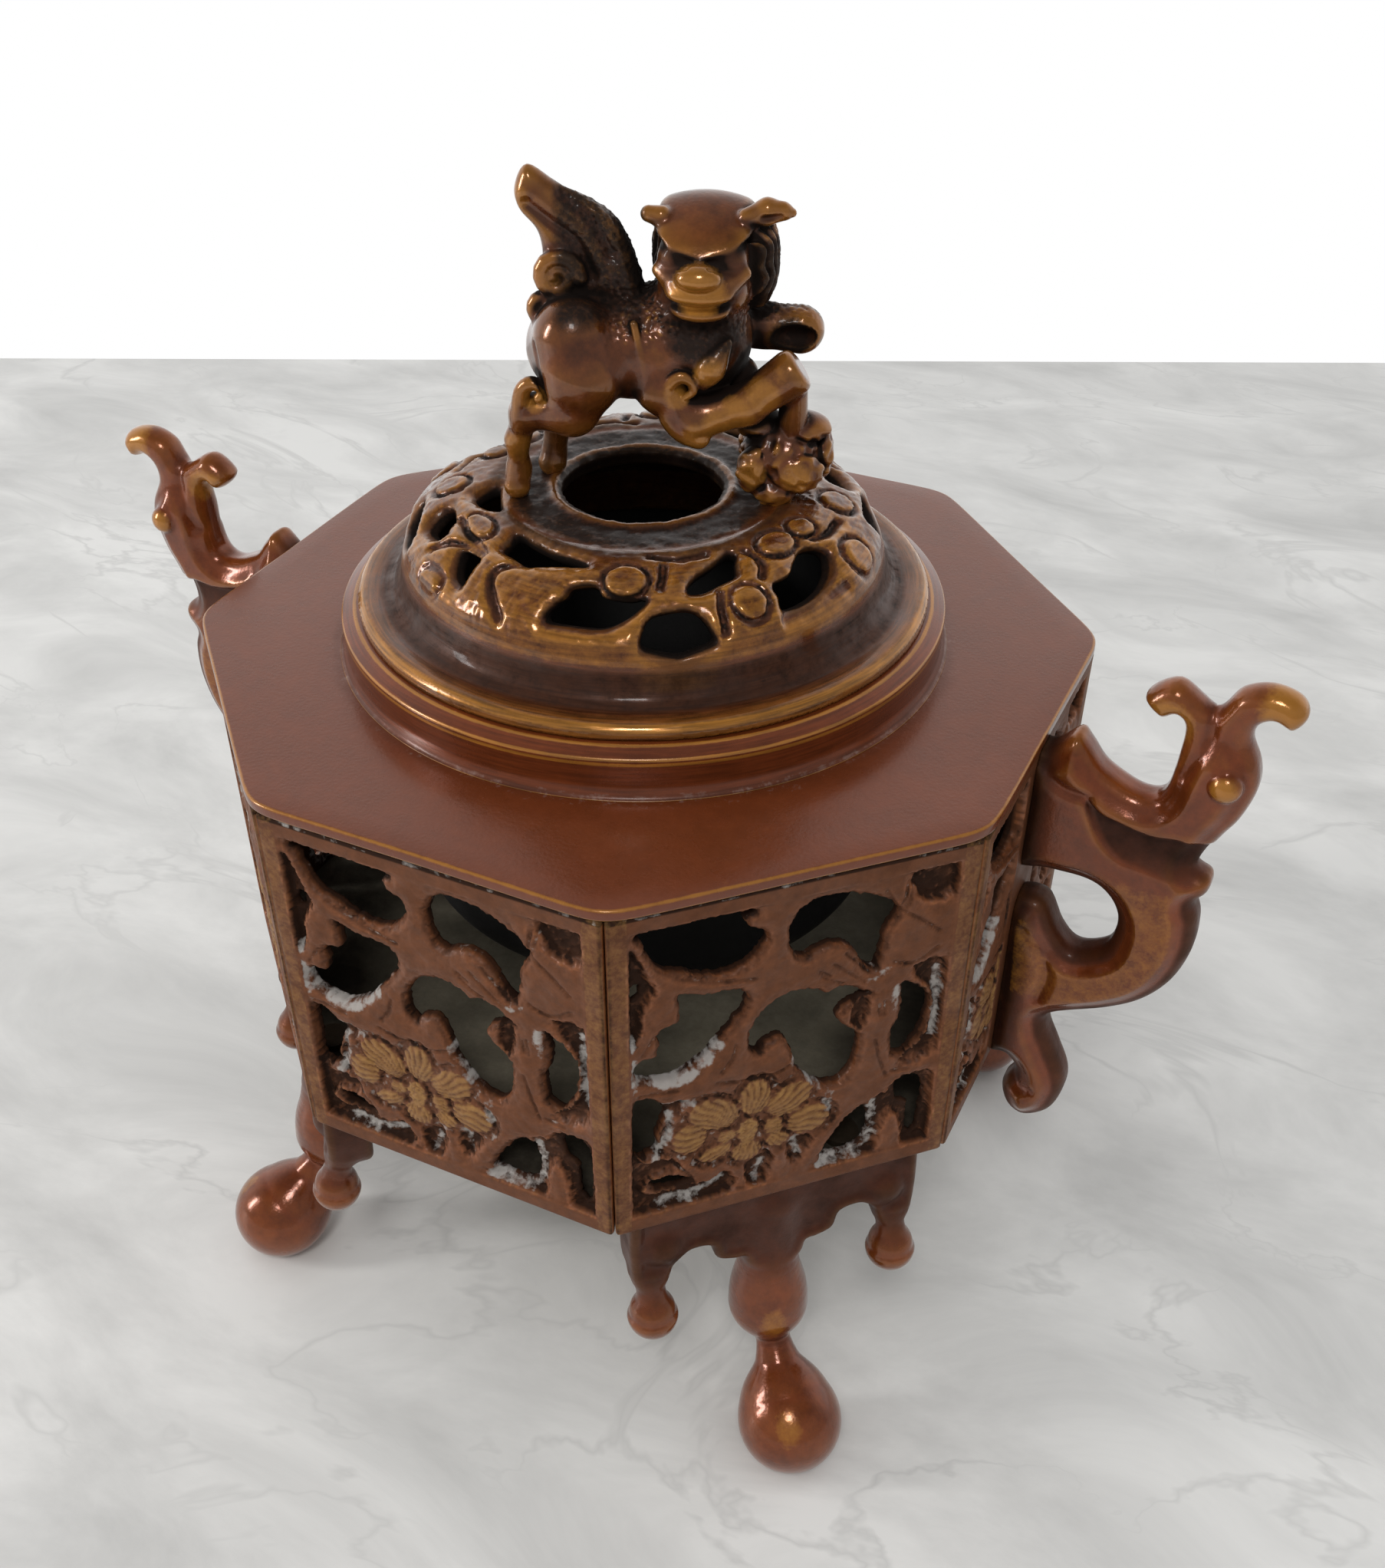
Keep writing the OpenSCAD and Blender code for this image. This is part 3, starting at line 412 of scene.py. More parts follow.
def smooth_min(a, b, blend):
    """Lesser of two distances, less the squared overlap of their blend zones over four times the blend."""
    overlap = np.maximum(blend - np.abs(a - b), 0)
    return np.minimum(a, b) - overlap * overlap / (4 * blend)


def smooth_max(a, b, blend):
    """Greater of two distances, with the corner between them rounded over the blend."""
    return -smooth_min(-a, -b, blend)


def soft_step(low, high, value):
    """Goes from 0 to 1 between low and high along 3t² - 2t³."""
    t = np.clip((value - low) / (high - low), 0, 1)
    return t * t * (3 - 2 * t)


def length(vectors):
    """Length of each row."""
    return np.sqrt(np.einsum("ij,ij->i", vectors, vectors))


def ball_chain(p, balls, blend=0.0):
    """Distance to round cones through balls, each given as a centre and a radius.

    It is the gap to the nearest point of each axis, less the radius there, and the least over the axes.
    """
    balls = np.asarray(balls, float)
    if len(balls) == 1:
        return length(p - balls[0, :-1]) - balls[0, -1]
    nearest = None
    for start, end in zip(balls[:-1], balls[1:]):
        run = end[:-1] - start[:-1]
        along = np.clip((p - start[:-1]) @ run / (run @ run), 0, 1)
        gap = length(p - start[:-1] - along[:, None] * run) - start[-1] - along * (end[-1] - start[-1])
        if nearest is None:
            nearest = gap
        else:
            nearest = smooth_min(nearest, gap, blend) if blend else np.minimum(nearest, gap)
    return nearest


def ellipsoid(p, middle, radii, turn=None):
    """Distance to an ellipsoid.

    It is k(k - 1) over the length of p by the squared radii, where k is the length of p by the radii.
    """
    q = p - np.asarray(middle, float)
    if turn is not None:
        q = q @ turn
    radii = np.asarray(radii, float)
    scaled = length(q / radii)
    return scaled * (scaled - 1) / np.maximum(length(q / radii ** 2), 1e-6)


def curve(points, steps, closed=False):
    """Catmull-Rom curve: cubic spans whose slope at a point is half the step between its neighbours."""
    p = np.asarray(points, float)
    if not closed:
        p = np.vstack([2 * p[0] - p[1], p, 2 * p[-1] - p[-2]])
    before, after, beyond = np.roll(p, 1, 0), np.roll(p, -1, 0), np.roll(p, -2, 0)
    t = (np.arange(steps) / steps)[:, None, None]
    spans = (
        p + t * (after - before) / 2 + t ** 2 * (before - 2.5 * p + 2 * after - beyond / 2)
        + t ** 3 * (1.5 * (p - after) + (beyond - before) / 2)
    ).transpose(1, 0, 2)
    if closed:
        return spans.reshape(-1, p.shape[1])
    return np.vstack([spans[1:-2].reshape(-1, p.shape[1]), p[-2]])


def line_gap(p, line):
    """Distance to a line of straight steps."""
    return ball_chain(p, np.column_stack([line, np.zeros(len(line))]))


def outline_gap(p, loop):
    """Distance to a closed outline in the plane, negative inside.

    The nearest edge gives its size. A point is inside if a ray along the first axis crosses an odd number
    of edges.
    """
    nearest = np.full(len(p), np.inf)
    inside = np.zeros(len(p), bool)
    for start, end in zip(loop, np.roll(loop, -1, 0)):
        run = end - start
        away = p - start
        along = np.clip(away @ run / max(run @ run, 1e-12), 0, 1)
        off = away - along[:, None] * run
        nearest = np.minimum(nearest, np.einsum("ij,ij->i", off, off))
        if run[1] != 0:
            crosses = (start[1] <= p[:, 1]) != (end[1] <= p[:, 1])
            inside ^= crosses & (away[:, 0] < away[:, 1] * run[0] / run[1])
    return np.where(inside, -1, 1) * np.sqrt(nearest)


def slab(flat, across, blend):
    """Distance to an outline carried through a thickness, with the edges rounded over the blend."""
    inner = np.maximum(flat, across) + blend
    corner = np.sqrt(np.maximum(flat + blend, 0) ** 2 + np.maximum(across + blend, 0) ** 2)
    return np.where(inner > 0, corner, inner) - blend


def nearest_line(p, lines, steps):
    """Distance to the nearest of several curves."""
    return np.minimum.reduce([line_gap(p, curve(points, steps)) for points in lines])


def nearest_outline(p, outlines, steps):
    """Distance to the nearest of several closed curves, negative inside."""
    return np.minimum.reduce([outline_gap(p, curve(points, steps, True)) for points in outlines])


def bell(gap, width):
    """Goes from 1 at no gap towards 0 along exp(-(gap / width)²)."""
    return np.exp(-(gap / width) ** 2)


class FlatMap:
    """Values of a function on a flat grid, read between its nodes by linear weights."""

    def __init__(self, low, high, step, function):
        """Works the function out at each node."""
        self.low = np.asarray(low, float)
        self.step = step
        counts = np.ceil((np.asarray(high) - self.low) / step).astype(int) + 1
        across, up = np.meshgrid(*[np.arange(n) * step for n in counts], indexing="ij")
        places = np.column_stack([across.ravel(), up.ravel()]) + self.low
        self.values = function(places).reshape(counts)

    def __call__(self, p):
        """Value at each point."""
        place = (p - self.low) / self.step
        last = np.array(self.values.shape) - 1
        place = np.clip(place, 0, last - 1e-6)
        cell = place.astype(int)
        (i, j), (s, t) = cell.T, (place - cell).T
        v = self.values
        low_side = v[i, j] * (1 - t) + v[i, j + 1] * t
        high_side = v[i + 1, j] * (1 - t) + v[i + 1, j + 1] * t
        return low_side * (1 - s) + high_side * s


# Surfaces

COARSE = 4
CHUNK = 400000


def in_chunks(distance, p):
    """The distance at many points, a chunk at a time."""
    return np.concatenate([distance(p[i:i + CHUNK]) for i in range(0, len(p), CHUNK)])


def sampled(distance, low, high, step):
    """Distance on a grid.

    Only blocks that the surface can reach are sampled finely. The rest take the value at their middle.
    """
    blocks = np.ceil((high - low) / (step * COARSE)).astype(int)
    index = np.indices(blocks).reshape(3, -1).T
    middles = low + (index * COARSE + (COARSE - 1) / 2) * step
    coarse = in_chunks(distance, middles).reshape(blocks)
    near = np.abs(coarse) < 1.3 * COARSE * step
    for axis in range(3):
        near = near | np.roll(near, 1, axis) | np.roll(near, -1, axis)
    values = coarse
    for axis in range(3):
        values = values.repeat(COARSE, axis)
    inner = np.indices((COARSE,) * 3).reshape(3, -1).T
    nodes = (index[near.ravel()][:, None, :] * COARSE + inner).reshape(-1, 3)
    values[tuple(nodes.T)] = in_chunks(distance, low + nodes * step)
    return values


def crossed_cells(values):
    """Cells that the surface crosses, and in each the mean of the crossings on its edges."""
    solid = values < 0
    shape = np.array(values.shape)
    corners = np.indices((2, 2, 2)).reshape(3, -1).T
    filled = np.zeros(shape - 1, np.int8)
    for corner in corners:
        filled += solid[tuple(slice(c, n - 1 + c) for c, n in zip(corner, shape))]
    cells = np.argwhere((filled > 0) & (filled < len(corners)))
    at = {tuple(c): values[tuple((cells + c).T)] for c in corners}
    total = np.zeros((len(cells), 3))
    count = np.zeros(len(cells))
    for axis in range(3):
        for corner in corners[corners[:, axis] == 0]:
            other = corner.copy()
            other[axis] = 1
            a, b = at[tuple(corner)], at[tuple(other)]
            crossed = (a < 0) != (b < 0)
            place = np.tile(corner.astype(float), (len(cells), 1))
            place[:, axis] = np.where(crossed, a / np.where(crossed, a - b, 1), 0)
            total += np.where(crossed[:, None], place, 0)
            count += crossed
    return cells, cells + total / count[:, None]


def joining_quads(solid, cells):
    """A quad for each grid edge that the surface crosses, of the four cells round it, facing outward."""
    shape = np.array(solid.shape)
    number = np.full(shape - 1, -1)
    number[tuple(cells.T)] = np.arange(len(cells))
    quads = []
    for axis in range(3):
        first, second = (axis + 1) % 3, (axis + 2) % 3
        edges = np.argwhere(solid != np.roll(solid, -1, axis))
        edges = edges[(edges < shape - 2).all(1) & (edges > 0).all(1)]
        around = []
        for one, two in ((1, 1), (0, 1), (0, 0), (1, 0)):
            cell = edges.copy()
            cell[:, first] -= one
            cell[:, second] -= two
            around.append(number[tuple(cell.T)])
        around = np.column_stack(around)
        outward = solid[tuple(edges.T)]
        quads.append(np.where(outward[:, None], around, around[:, ::-1]))
    return np.vstack(quads)


def skin(distance, low, high, step):
    """Points and quads on a distance's zero surface, by surface nets.

    A cell that the surface crosses gets the mean of the crossings on its edges. Each grid edge that is
    crossed joins the points of the four cells round it. Two steps along the slope then bring the points
    onto the surface.
    """
    low, high = np.asarray(low, float) - 3 * step, np.asarray(high, float) + 3 * step
    values = sampled(distance, low, high, step)
    cells, places = crossed_cells(values)
    points = low + places * step
    for _ in range(2):
        slope = gradient(distance, points, step / 2)
        move = in_chunks(distance, points) / np.maximum(np.einsum("ij,ij->i", slope, slope), 0.05)
        points = points - slope * np.clip(move, -step, step)[:, None]
    return points, joining_quads(values < 0, cells)


TETRAHEDRON = np.array([(1, -1, -1), (-1, -1, 1), (-1, 1, -1), (1, 1, 1)], float)
EDGE_REACH, SWELL_REACH = 0.5, 1.2
HOLLOW_REACHES = (0.8, 2.0, 4.5)


def gradient(distance, p, reach):
    """Slope of the distance, from four samples at the corners of a tetrahedron."""
    steps = [corner * in_chunks(distance, p + corner * reach)[:, None] for corner in TETRAHEDRON]
    return sum(steps) / (4 * reach)


def wear_marks(distance, p):
    """How sharp an edge each point is on, how round it swells, and how deep it lies in a hollow.

    On an edge the mean distance of the places close round a point is above zero, and on a swelling that of
    places farther round it. In a hollow the distance grows more slowly than the way out along the slope.
    """
    ways = np.vstack([np.eye(3), -np.eye(3)])
    edge, swell = [
        sum(in_chunks(distance, p + way * reach) for way in ways) / 3 for reach in (EDGE_REACH, SWELL_REACH)
    ]
    out = gradient(distance, p, 0.2)
    out /= np.maximum(length(out), 1e-6)[:, None]
    shut = [1 - np.clip(in_chunks(distance, p + out * reach) / reach, 0, 1) for reach in HOLLOW_REACHES]
    return {"edge": edge, "swell": swell, "hollow": sum(shut) / len(shut)}


def grid_quads(rows, columns):
    """Quads that join the points of a grid that is closed both ways, row by row."""
    i, j = np.indices((rows, columns)).reshape(2, -1)
    up, right = (i + 1) % rows, (j + 1) % columns
    return np.column_stack([i * columns + j, i * columns + right, up * columns + right, up * columns + j])


def turned(p, angle):
    """Points turned about the vertical axis, in degrees."""
    c, s = math.cos(math.radians(angle)), math.sin(math.radians(angle))
    return np.column_stack([p[:, 0] * c - p[:, 1] * s, p[:, 0] * s + p[:, 1] * c, p[:, 2]])


def piece(name, points, quads, marks, material, body, nodes):
    """Mesh object from points in millimetres, riding on a body in the place of CAD nodes."""
    mesh = bpy.data.meshes.new(name)
    mesh.vertices.add(len(points))
    mesh.vertices.foreach_set("co", (points * MM).astype(np.float32).ravel())
    mesh.loops.add(quads.size)
    mesh.loops.foreach_set("vertex_index", quads.astype(np.int32).ravel())
    mesh.polygons.add(len(quads))
    mesh.polygons.foreach_set("loop_start", np.arange(0, quads.size, 4, dtype=np.int32))
    mesh.polygons.foreach_set("use_smooth", np.ones(len(quads), bool))
    mesh.update(calc_edges=True)
    for mark, values in marks.items():
        layer = mesh.attributes.new(mark, "FLOAT", "POINT")
        layer.data.foreach_set("value", np.asarray(values, np.float32))
    mesh.materials.append(material)
    obj = bpy.data.objects.new(name, mesh)
    bpy.context.scene.collection.objects.link(obj)
    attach(obj, body)
    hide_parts(*nodes)


def set_round(angles, points, quads, marks, material):
    """A piece on the burner for each named CAD node, turned to its side."""
    for name, angle in angles.items():
        piece(name + "_skin", turned(points, angle), quads, marks, material, "burner", [name])


# Finishes

def add(tree, kind, inputs=None, **settings):
    """Outputs of a new shader node with its settings. An input is a value, or an output to link."""
    node = tree.nodes.new("ShaderNode" + kind)
    for name, value in settings.items():
        setattr(node, name, value)
    for socket, value in (inputs or {}).items():
        if isinstance(value, bpy.types.NodeSocket):
            tree.links.new(value, node.inputs[socket])
        else:
            node.inputs[socket].default_value = value
    return node.outputs


def rgba(colour):
    """Linear colour with full alpha."""
    return (*colour, 1)


def bronze(
    name, body, wear=0.5, dirt_and_shade=0.8, roughness=0.3, metallic=0.5, mottle=0.4, glow=0.0, coat=0.3, extras=(),
    shade_margin=None,
):
    """Bronze under a waxed patina.

    The body colour varies in soft patches. Yellow metal shows where an edge is rubbed and, by the glow,
    where the surface swells. Dark dirt fills the hollows, and the same dark fill paints shade where a piece
    adds painted shade to its hollow mark. A fine cast grain, drawn out into rings where the piece is turned,
    breaks up the reflections. An extra is a mark, its paint, how speckled and how full it gets, and how dull
    it is. A shade margin gives the distances from the axis between which painted shade darkens outward.
    """
    found = bpy.data.materials.get(name)
    if found:
        return found
    material = bpy.data.materials.new(name)
    material.use_nodes = True
    tree = material.node_tree
    shader = tree.nodes["Principled BSDF"]
    place = add(tree, "TexCoord")["Object"]
    # Casting grain and turning marks are finer than this, and are drawn as coarse as they need to show
    patch_size, clump_size, grain_size, ring_size = 7 * MM, 1.8 * MM, 0.5 * MM, 0.4 * MM
    patches, clumps, grain = [
        add(tree, "TexNoise", {
            "Vector": place, "Scale": 1 / size, "Detail": detail, "Roughness": rough,
        })["Fac"]
        for size, detail, rough in ((patch_size, 6, 0.6), (clump_size, 6, 0.7), (grain_size, 4, 0.5))
    ]
    edge, swell, hollow, turning = [
        add(tree, "Attribute", attribute_name=mark)["Fac"]
        for mark in ("edge", "swell", "hollow", "turned")
    ]
    parts = add(tree, "SeparateXYZ", {0: place})
    around = add(tree, "Math", {0: parts["Y"], 1: parts["X"]}, operation="ARCTAN2")[0]
    flat = add(tree, "VectorMath", {0: place, 1: (1, 1, 0)}, operation="MULTIPLY")[0]
    out = add(tree, "VectorMath", {0: flat}, operation="LENGTH")["Value"]
    # Painted shade: darker outward between the margin's two distances from the axis
    if shade_margin:
        start, end = shade_margin
        painted_shade = add(tree, "MapRange", {0: out, 1: start * MM, 2: end * MM, 4: 0.6})[0]
        hollow = add(tree, "Math", {0: hollow, 1: painted_shade}, operation="MAXIMUM")[0]
    ringed = add(tree, "CombineXYZ", {0: out, 1: parts["Z"], 2: around})[0]
    drawn = (1 / ring_size, 1 / ring_size, 5)
    ringed = add(tree, "VectorMath", {0: ringed, 1: drawn}, operation="MULTIPLY")[0]
    rings = add(tree, "TexNoise", {"Vector": ringed, "Scale": 1, "Detail": 4})["Fac"]
    grain = add(tree, "Mix", {0: turning, 2: grain, 3: rings})[0]
    dark = tuple(c * (1 - 0.6 * mottle) for c in body)
    light = tuple(min(1, c * (1 + 0.5 * mottle)) for c in body)
    worn = rgba(colours().worn)
    both = add(tree, "Mix", {0: 0.45, 2: patches, 3: clumps})[0]
    spread = add(tree, "MapRange", {0: both, 1: 0.38, 2: 0.62})[0]
    speckles = add(tree, "Mix", {0: 0.35, 2: clumps, 3: grain})[0]
    colour = add(tree, "Mix", {0: spread, 6: rgba(dark), 7: rgba(light)}, data_type="RGBA")[2]
    uneven = add(tree, "Math", {0: patches, 1: 0.5, 2: swell}, operation="MULTIPLY_ADD")[0]
    shown = add(tree, "MapRange", {0: uneven, 1: 0.3, 2: 0.75, 4: glow})[0]
    colour = add(tree, "Mix", {0: shown, 6: colour, 7: worn}, data_type="RGBA")[2]
    broken = add(tree, "Math", {0: clumps, 1: 0.6, 2: edge}, operation="MULTIPLY_ADD")[0]
    rub_from = 0.55 - 0.2 * wear
    rub = add(tree, "MapRange", {0: broken, 1: rub_from, 2: rub_from + 0.4, 4: wear})[0]
    colour = add(tree, "Mix", {0: rub, 6: colour, 7: worn}, data_type="RGBA")[2]
    # Dark fill: dirt in the hollows, and painted shade where the hollow mark carries it
    patchy = add(tree, "Math", {0: patches, 1: 0.5, 2: hollow}, operation="MULTIPLY_ADD")[0]
    fill_from = 0.7 - 0.3 * dirt_and_shade
    fill = add(tree, "MapRange", {0: patchy, 1: fill_from, 2: fill_from + 0.45, 4: dirt_and_shade})[0]
    dirt_and_shade_colour = rgba(colours().dirt_and_shade)
    colour = add(tree, "Mix", {0: fill, 6: colour, 7: dirt_and_shade_colour}, data_type="RGBA")[2]
    matt = fill
    for mark, paint, speckle, most, dulled in extras:
        amount = add(tree, "Attribute", attribute_name=mark)["Fac"]
        broken = add(tree, "Math", {0: speckles, 1: speckle, 2: amount}, operation="MULTIPLY_ADD")[0]
        low = 0.4 + speckle / 2
        cover = add(tree, "MapRange", {0: broken, 1: low, 2: low + 0.35, 4: most})[0]
        colour = add(tree, "Mix", {0: cover, 6: colour, 7: rgba(paint)}, data_type="RGBA")[2]
        matt = add(tree, "Math", {0: cover, 1: dulled, 2: matt}, operation="MULTIPLY_ADD")[0]
    ringing = add(tree, "MapRange", {0: rings, 1: 0.35, 2: 0.6, 3: 0.6, 4: 1.3})[0]
    ringing = add(tree, "Mix", {0: turning, 2: 1.0, 3: ringing})[0]
    colour = add(tree, "VectorMath", {0: colour, 1: ringing}, operation="MULTIPLY")[0]
    tree.links.new(colour, shader.inputs["Base Color"])
    dull = add(tree, "Math", {0: matt, 1: 0.45, 2: roughness - 0.08}, operation="MULTIPLY_ADD")[0]
    shine = add(tree, "Math", {0: patches, 1: 0.16, 2: dull}, operation="MULTIPLY_ADD")[0]
    tree.links.new(shine, shader.inputs["Roughness"])
    waxed = add(tree, "MapRange", {0: matt, 3: coat, 4: 0.0})[0]
    tree.links.new(waxed, shader.inputs["Coat Weight"])
    glint = add(tree, "MapRange", {0: matt, 3: 0.5, 4: 0.1})[0]
    tree.links.new(glint, shader.inputs["Specular IOR Level"])
    shader.inputs["Metallic"].default_value = metallic
    shader.inputs["Coat Roughness"].default_value = max(0.06, roughness - 0.1)
    bump = add(tree, "Bump", {"Height": grain, "Strength": 0.35, "Distance": 0.1 * MM})
    tree.links.new(bump["Normal"], shader.inputs["Normal"])
    return material


def plate_bronze():
    """Rolled bronze plate: smooth waxed brown patina, a rubbed edge, and dust where it meets the collar."""
    dust = (("dust", colours().chalk, 1.6, 0.35, 0.6),)
    return bronze(
        "waxed_bronze_plate", colours().plate, wear=0.75, dirt_and_shade=0.6, roughness=0.28, metallic=0.3, mottle=0.2,
        coat=0.4, extras=dust,
    )


def panel_bronze():
    """Cast bronze panels: dull orange-brown, rubbed rails, brass-coloured flowers and dry pale deposit."""
    extras = (("gilt", colours().gilt, 0.7, 0.9, 0.0), ("chalk", colours().chalk, 1.6, 0.9, 0.8))
    return bronze(
        "patinated_bronze_panel", colours().panel, wear=0.4, dirt_and_shade=0.92, roughness=0.4, metallic=0.25,
        mottle=0.6, coat=0.15, extras=extras,
    )


def cast_bronze():
    """Cast and waxed bronze of the feet and handles: glossy red-brown with golden tips, painted amber sheen
    on the feet's drops and bulbs, and painted shade under the body and on the handles.
    """
    gold = (("gilt", colours().worn, 0.8, 0.8, 0.0),)
    return bronze(
        "waxed_cast_bronze", colours().cast, wear=0.2, dirt_and_shade=0.9, roughness=0.2, metallic=0.35, mottle=0.5,
        glow=0.25, coat=0.35, extras=gold,
    )


def lid_bronze():
    """Cast bronze of the lid and the lion: golden on the high parts, near black in the hollows, with painted
    golden sheen on the lid's front and painted shade on the lid's back and the lion's far side.
    """
    extras = (("gilt", colours().worn, 0.6, 0.85, 0.0), ("soot_hair_and_shade", colours().dirt_and_shade, 0.8, 0.93, 0.7))
    return bronze(
        "rubbed_cast_bronze", colours().lid, wear=0.75, dirt_and_shade=0.97, roughness=0.2, metallic=0.4, mottle=0.7,
        glow=0.5, coat=0.55, extras=extras,
    )


def sooty_bronze():
    """Sheet bronze burnt matt and near black by the fire."""
    return bronze(
        "burnt_sheet_bronze", colours().soot, wear=0.1, dirt_and_shade=0.5, roughness=0.7, metallic=0.2, coat=0.0,
    )


def dusty_bronze():
    """Sheet bronze under a dry coat of olive dust, with painted shade along the walls."""
    return bronze(
        "dusty_sheet_bronze", colours().dust, wear=0.0, dirt_and_shade=0.9, roughness=0.9, metallic=0.0, coat=0.0,
        shade_margin=(28, 45),
    )


def rivet_brass():
    """Drawn brass rivets, dulled by handling."""
    return bronze("dulled_rivet_brass", colours().brass, wear=0.3, dirt_and_shade=0.4, roughness=0.3, metallic=0.6)


# Turned and flat pieces

def lathe(profile, around=AROUND):
    """Closed profile of radius and height, turned about the vertical axis: (r cos a, r sin a, z)."""
    angle = np.arange(around) * 2 * math.pi / around
    r, z = np.asarray(profile, float).T
    points = np.stack([
        r[:, None] * np.cos(angle), r[:, None] * np.sin(angle), np.repeat(z[:, None], around, 1),
    ], 2)
    return points.reshape(-1, 3), grid_quads(len(profile), around)


def rounded(profile, radius):
    """Closed profile with each corner cut back by a radius and bridged by a parabola, and its bulge there.

    The bulge is the sine of the way through a corner, above zero on an outer corner and below it on an inner.
    """
    p = np.asarray(profile, float)
    before, after = np.roll(p, 1, 0) - p, np.roll(p, -1, 0) - p
    reach = np.minimum(radius, 0.45 * np.minimum(length(before), length(after)))[:, None]
    start = p + before / length(before)[:, None] * reach
    end = p + after / length(after)[:, None] * reach
    way = np.arange(CORNER_STEPS + 1) / CORNER_STEPS
    t = way[:, None, None]
    arcs = (1 - t) ** 2 * start + 2 * t * (1 - t) * p + t ** 2 * end
    side = before[:, 0] * after[:, 1] - before[:, 1] * after[:, 0]
    bulge = np.sin(way * math.pi)[None, :] * np.sign(-side)[:, None]
    return arcs.transpose(1, 0, 2).reshape(-1, 2), bulge.ravel()


class BURNER_OT_top_plate(bpy.types.Operator):
    """Makes the octagonal plate with its rubbed edge"""

    bl_idname = "burner.top_plate"
    bl_label = "Top plate"

    def execute(self, context):
        """Carries a rounded strip round the octagon, from the bore's circle out to the sides.

        The octagon's radius at an angle is the apothem over a high norm of the cosines to the sides, which
        rounds its corners a little.
        """
        around = 2 * AROUND
        norm = 60
        angle = np.arange(around) * 2 * math.pi / around
        facing = np.maximum(np.cos(angle[:, None] - np.arange(SIDES) * 2 * math.pi / SIDES), 0)
        apothem = PLATE_HIGH[0]
        octagon = apothem / (facing ** norm).sum(1) ** (1 / norm)
        bore = COLLAR_HIGH[0] - PLATE_LAP
        low, top = PLATE_LOW[2], PLATE_TOP
        section = [(0, low), (0.5, low), (1, low), (1, top), (0.8, top), (0.5, top), (0.2, top), (0, top)]
        width = apothem - bore
        strip, bulge = rounded([(share * width, z) for share, z in section], sizes().edge_round / MM)
        share = (strip[:, 0] / width)[:, None]
        radius = bore + share * (octagon - bore)
        wave = 0.12 * share * np.sin(3 * angle + 0.7) + 0.06 * share * np.sin(7 * angle)
        height = strip[:, 1][:, None] + wave * (share > 0.4)
        points = np.stack([radius * np.cos(angle), radius * np.sin(angle), height], 2).reshape(-1, 3)
        at_rim = np.where(strip[:, 0] > 0.9 * width, bulge, 0) * 0.55
        near_collar = soft_step(bore + 6.5, bore + 3.8, radius)
        marks = {
            "edge": np.repeat(at_rim, around),
            "hollow": 0.35 * near_collar.ravel(),
            "dust": 0.34 * near_collar.ravel(),
        }
        quads = grid_quads(len(strip), around)
        piece("top_plate_skin", points, quads, marks, plate_bronze(), "burner", ["top_plate"])
        return {"FINISHED"}


class BURNER_OT_collar(bpy.types.Operator):
    """Makes the turned collar that seats the lid"""

    bl_idname = "burner.collar"
    bl_label = "Collar"

    def execute(self, context):
        """Turns the collar's section, with its corners rounded."""
        foot, seat, low = COLLAR_HIGH[0], SEAT, COLLAR_LOW[2]
        lip = foot - 0.8
        recess = BOWL_HIGH[0] + 0.2
        ledge = BOWL_HIGH[2] - FLANGE_THICK
        bore = BOWL_HIGH[0] - 2.4
        section = [
            (bore, low), (recess + 1, low), (recess + 1, PLATE_TOP), (foot, PLATE_TOP),
            (foot - 0.5, PLATE_TOP + 0.3), (lip - 0.2, PLATE_TOP + 1.5), (lip - 0.1, PLATE_TOP + 3.2),
            (lip, PLATE_TOP + 4.8), (lip, PLATE_TOP + 5.5), (LID_HIGH[0] + 0.6, seat - 0.2), (recess, seat),
            (recess, ledge), (bore, ledge),
        ]
        profile, bulge = rounded(section, 0.35)
        points, quads = lathe(profile)
        crevice = soft_step(1.6, 0.2, profile[:, 1] - PLATE_TOP) * (profile[:, 0] > lip - 0.6)
        marks = {
            "edge": np.repeat(bulge * 0.7, AROUND), "hollow": np.repeat(0.5 * crevice, AROUND),
            "dust": np.repeat(0.4 * crevice, AROUND), "turned": np.full(len(points), 0.6),
        }
        piece("collar_skin", points, quads, marks, plate_bronze(), "burner", ["collar_ring"])
        return {"FINISHED"}


class BURNER_OT_fire_bowl(bpy.types.Operator):
    """Makes the sooty fire bowl that hangs in the collar"""

    bl_idname = "burner.fire_bowl"
    bl_label = "Fire bowl"

    def execute(self, context):
        """Turns the bowl's wall, outside and inside.

        Its lower corner runs along radius times the 0.6th power of cos a, and rise times sin a below the
        wall.
        """
        flange, top, bottom = BOWL_HIGH[0], BOWL_HIGH[2], BOWL_LOW[2]
        radius, wall, ledge = flange - 2.8, 1.6, top - FLANGE_THICK
        rise = 11.0
        quarter = np.linspace(0, math.pi / 2, 24)
        middle = 0.02
        narrowing = np.cos(quarter) ** 0.6
        outer = np.column_stack([
            np.maximum(radius * narrowing, middle), bottom + rise * (1 - np.sin(quarter)),
        ])
        inner = np.column_stack([
            np.maximum((radius - wall) * narrowing, middle), bottom + rise - (rise - wall) * np.sin(quarter),
        ])
        rim = [(radius - wall, top), (flange, top), (flange, ledge)]
        profile = np.vstack([[(radius, ledge)], outer, inner[::-1], rim])
        points, quads = lathe(profile[::-1], AROUND // 2)
        piece("fire_bowl_skin", points, quads, {}, sooty_bronze(), "bowl", ["fire_bowl"])
        return {"FINISHED"}


# Pierced panels

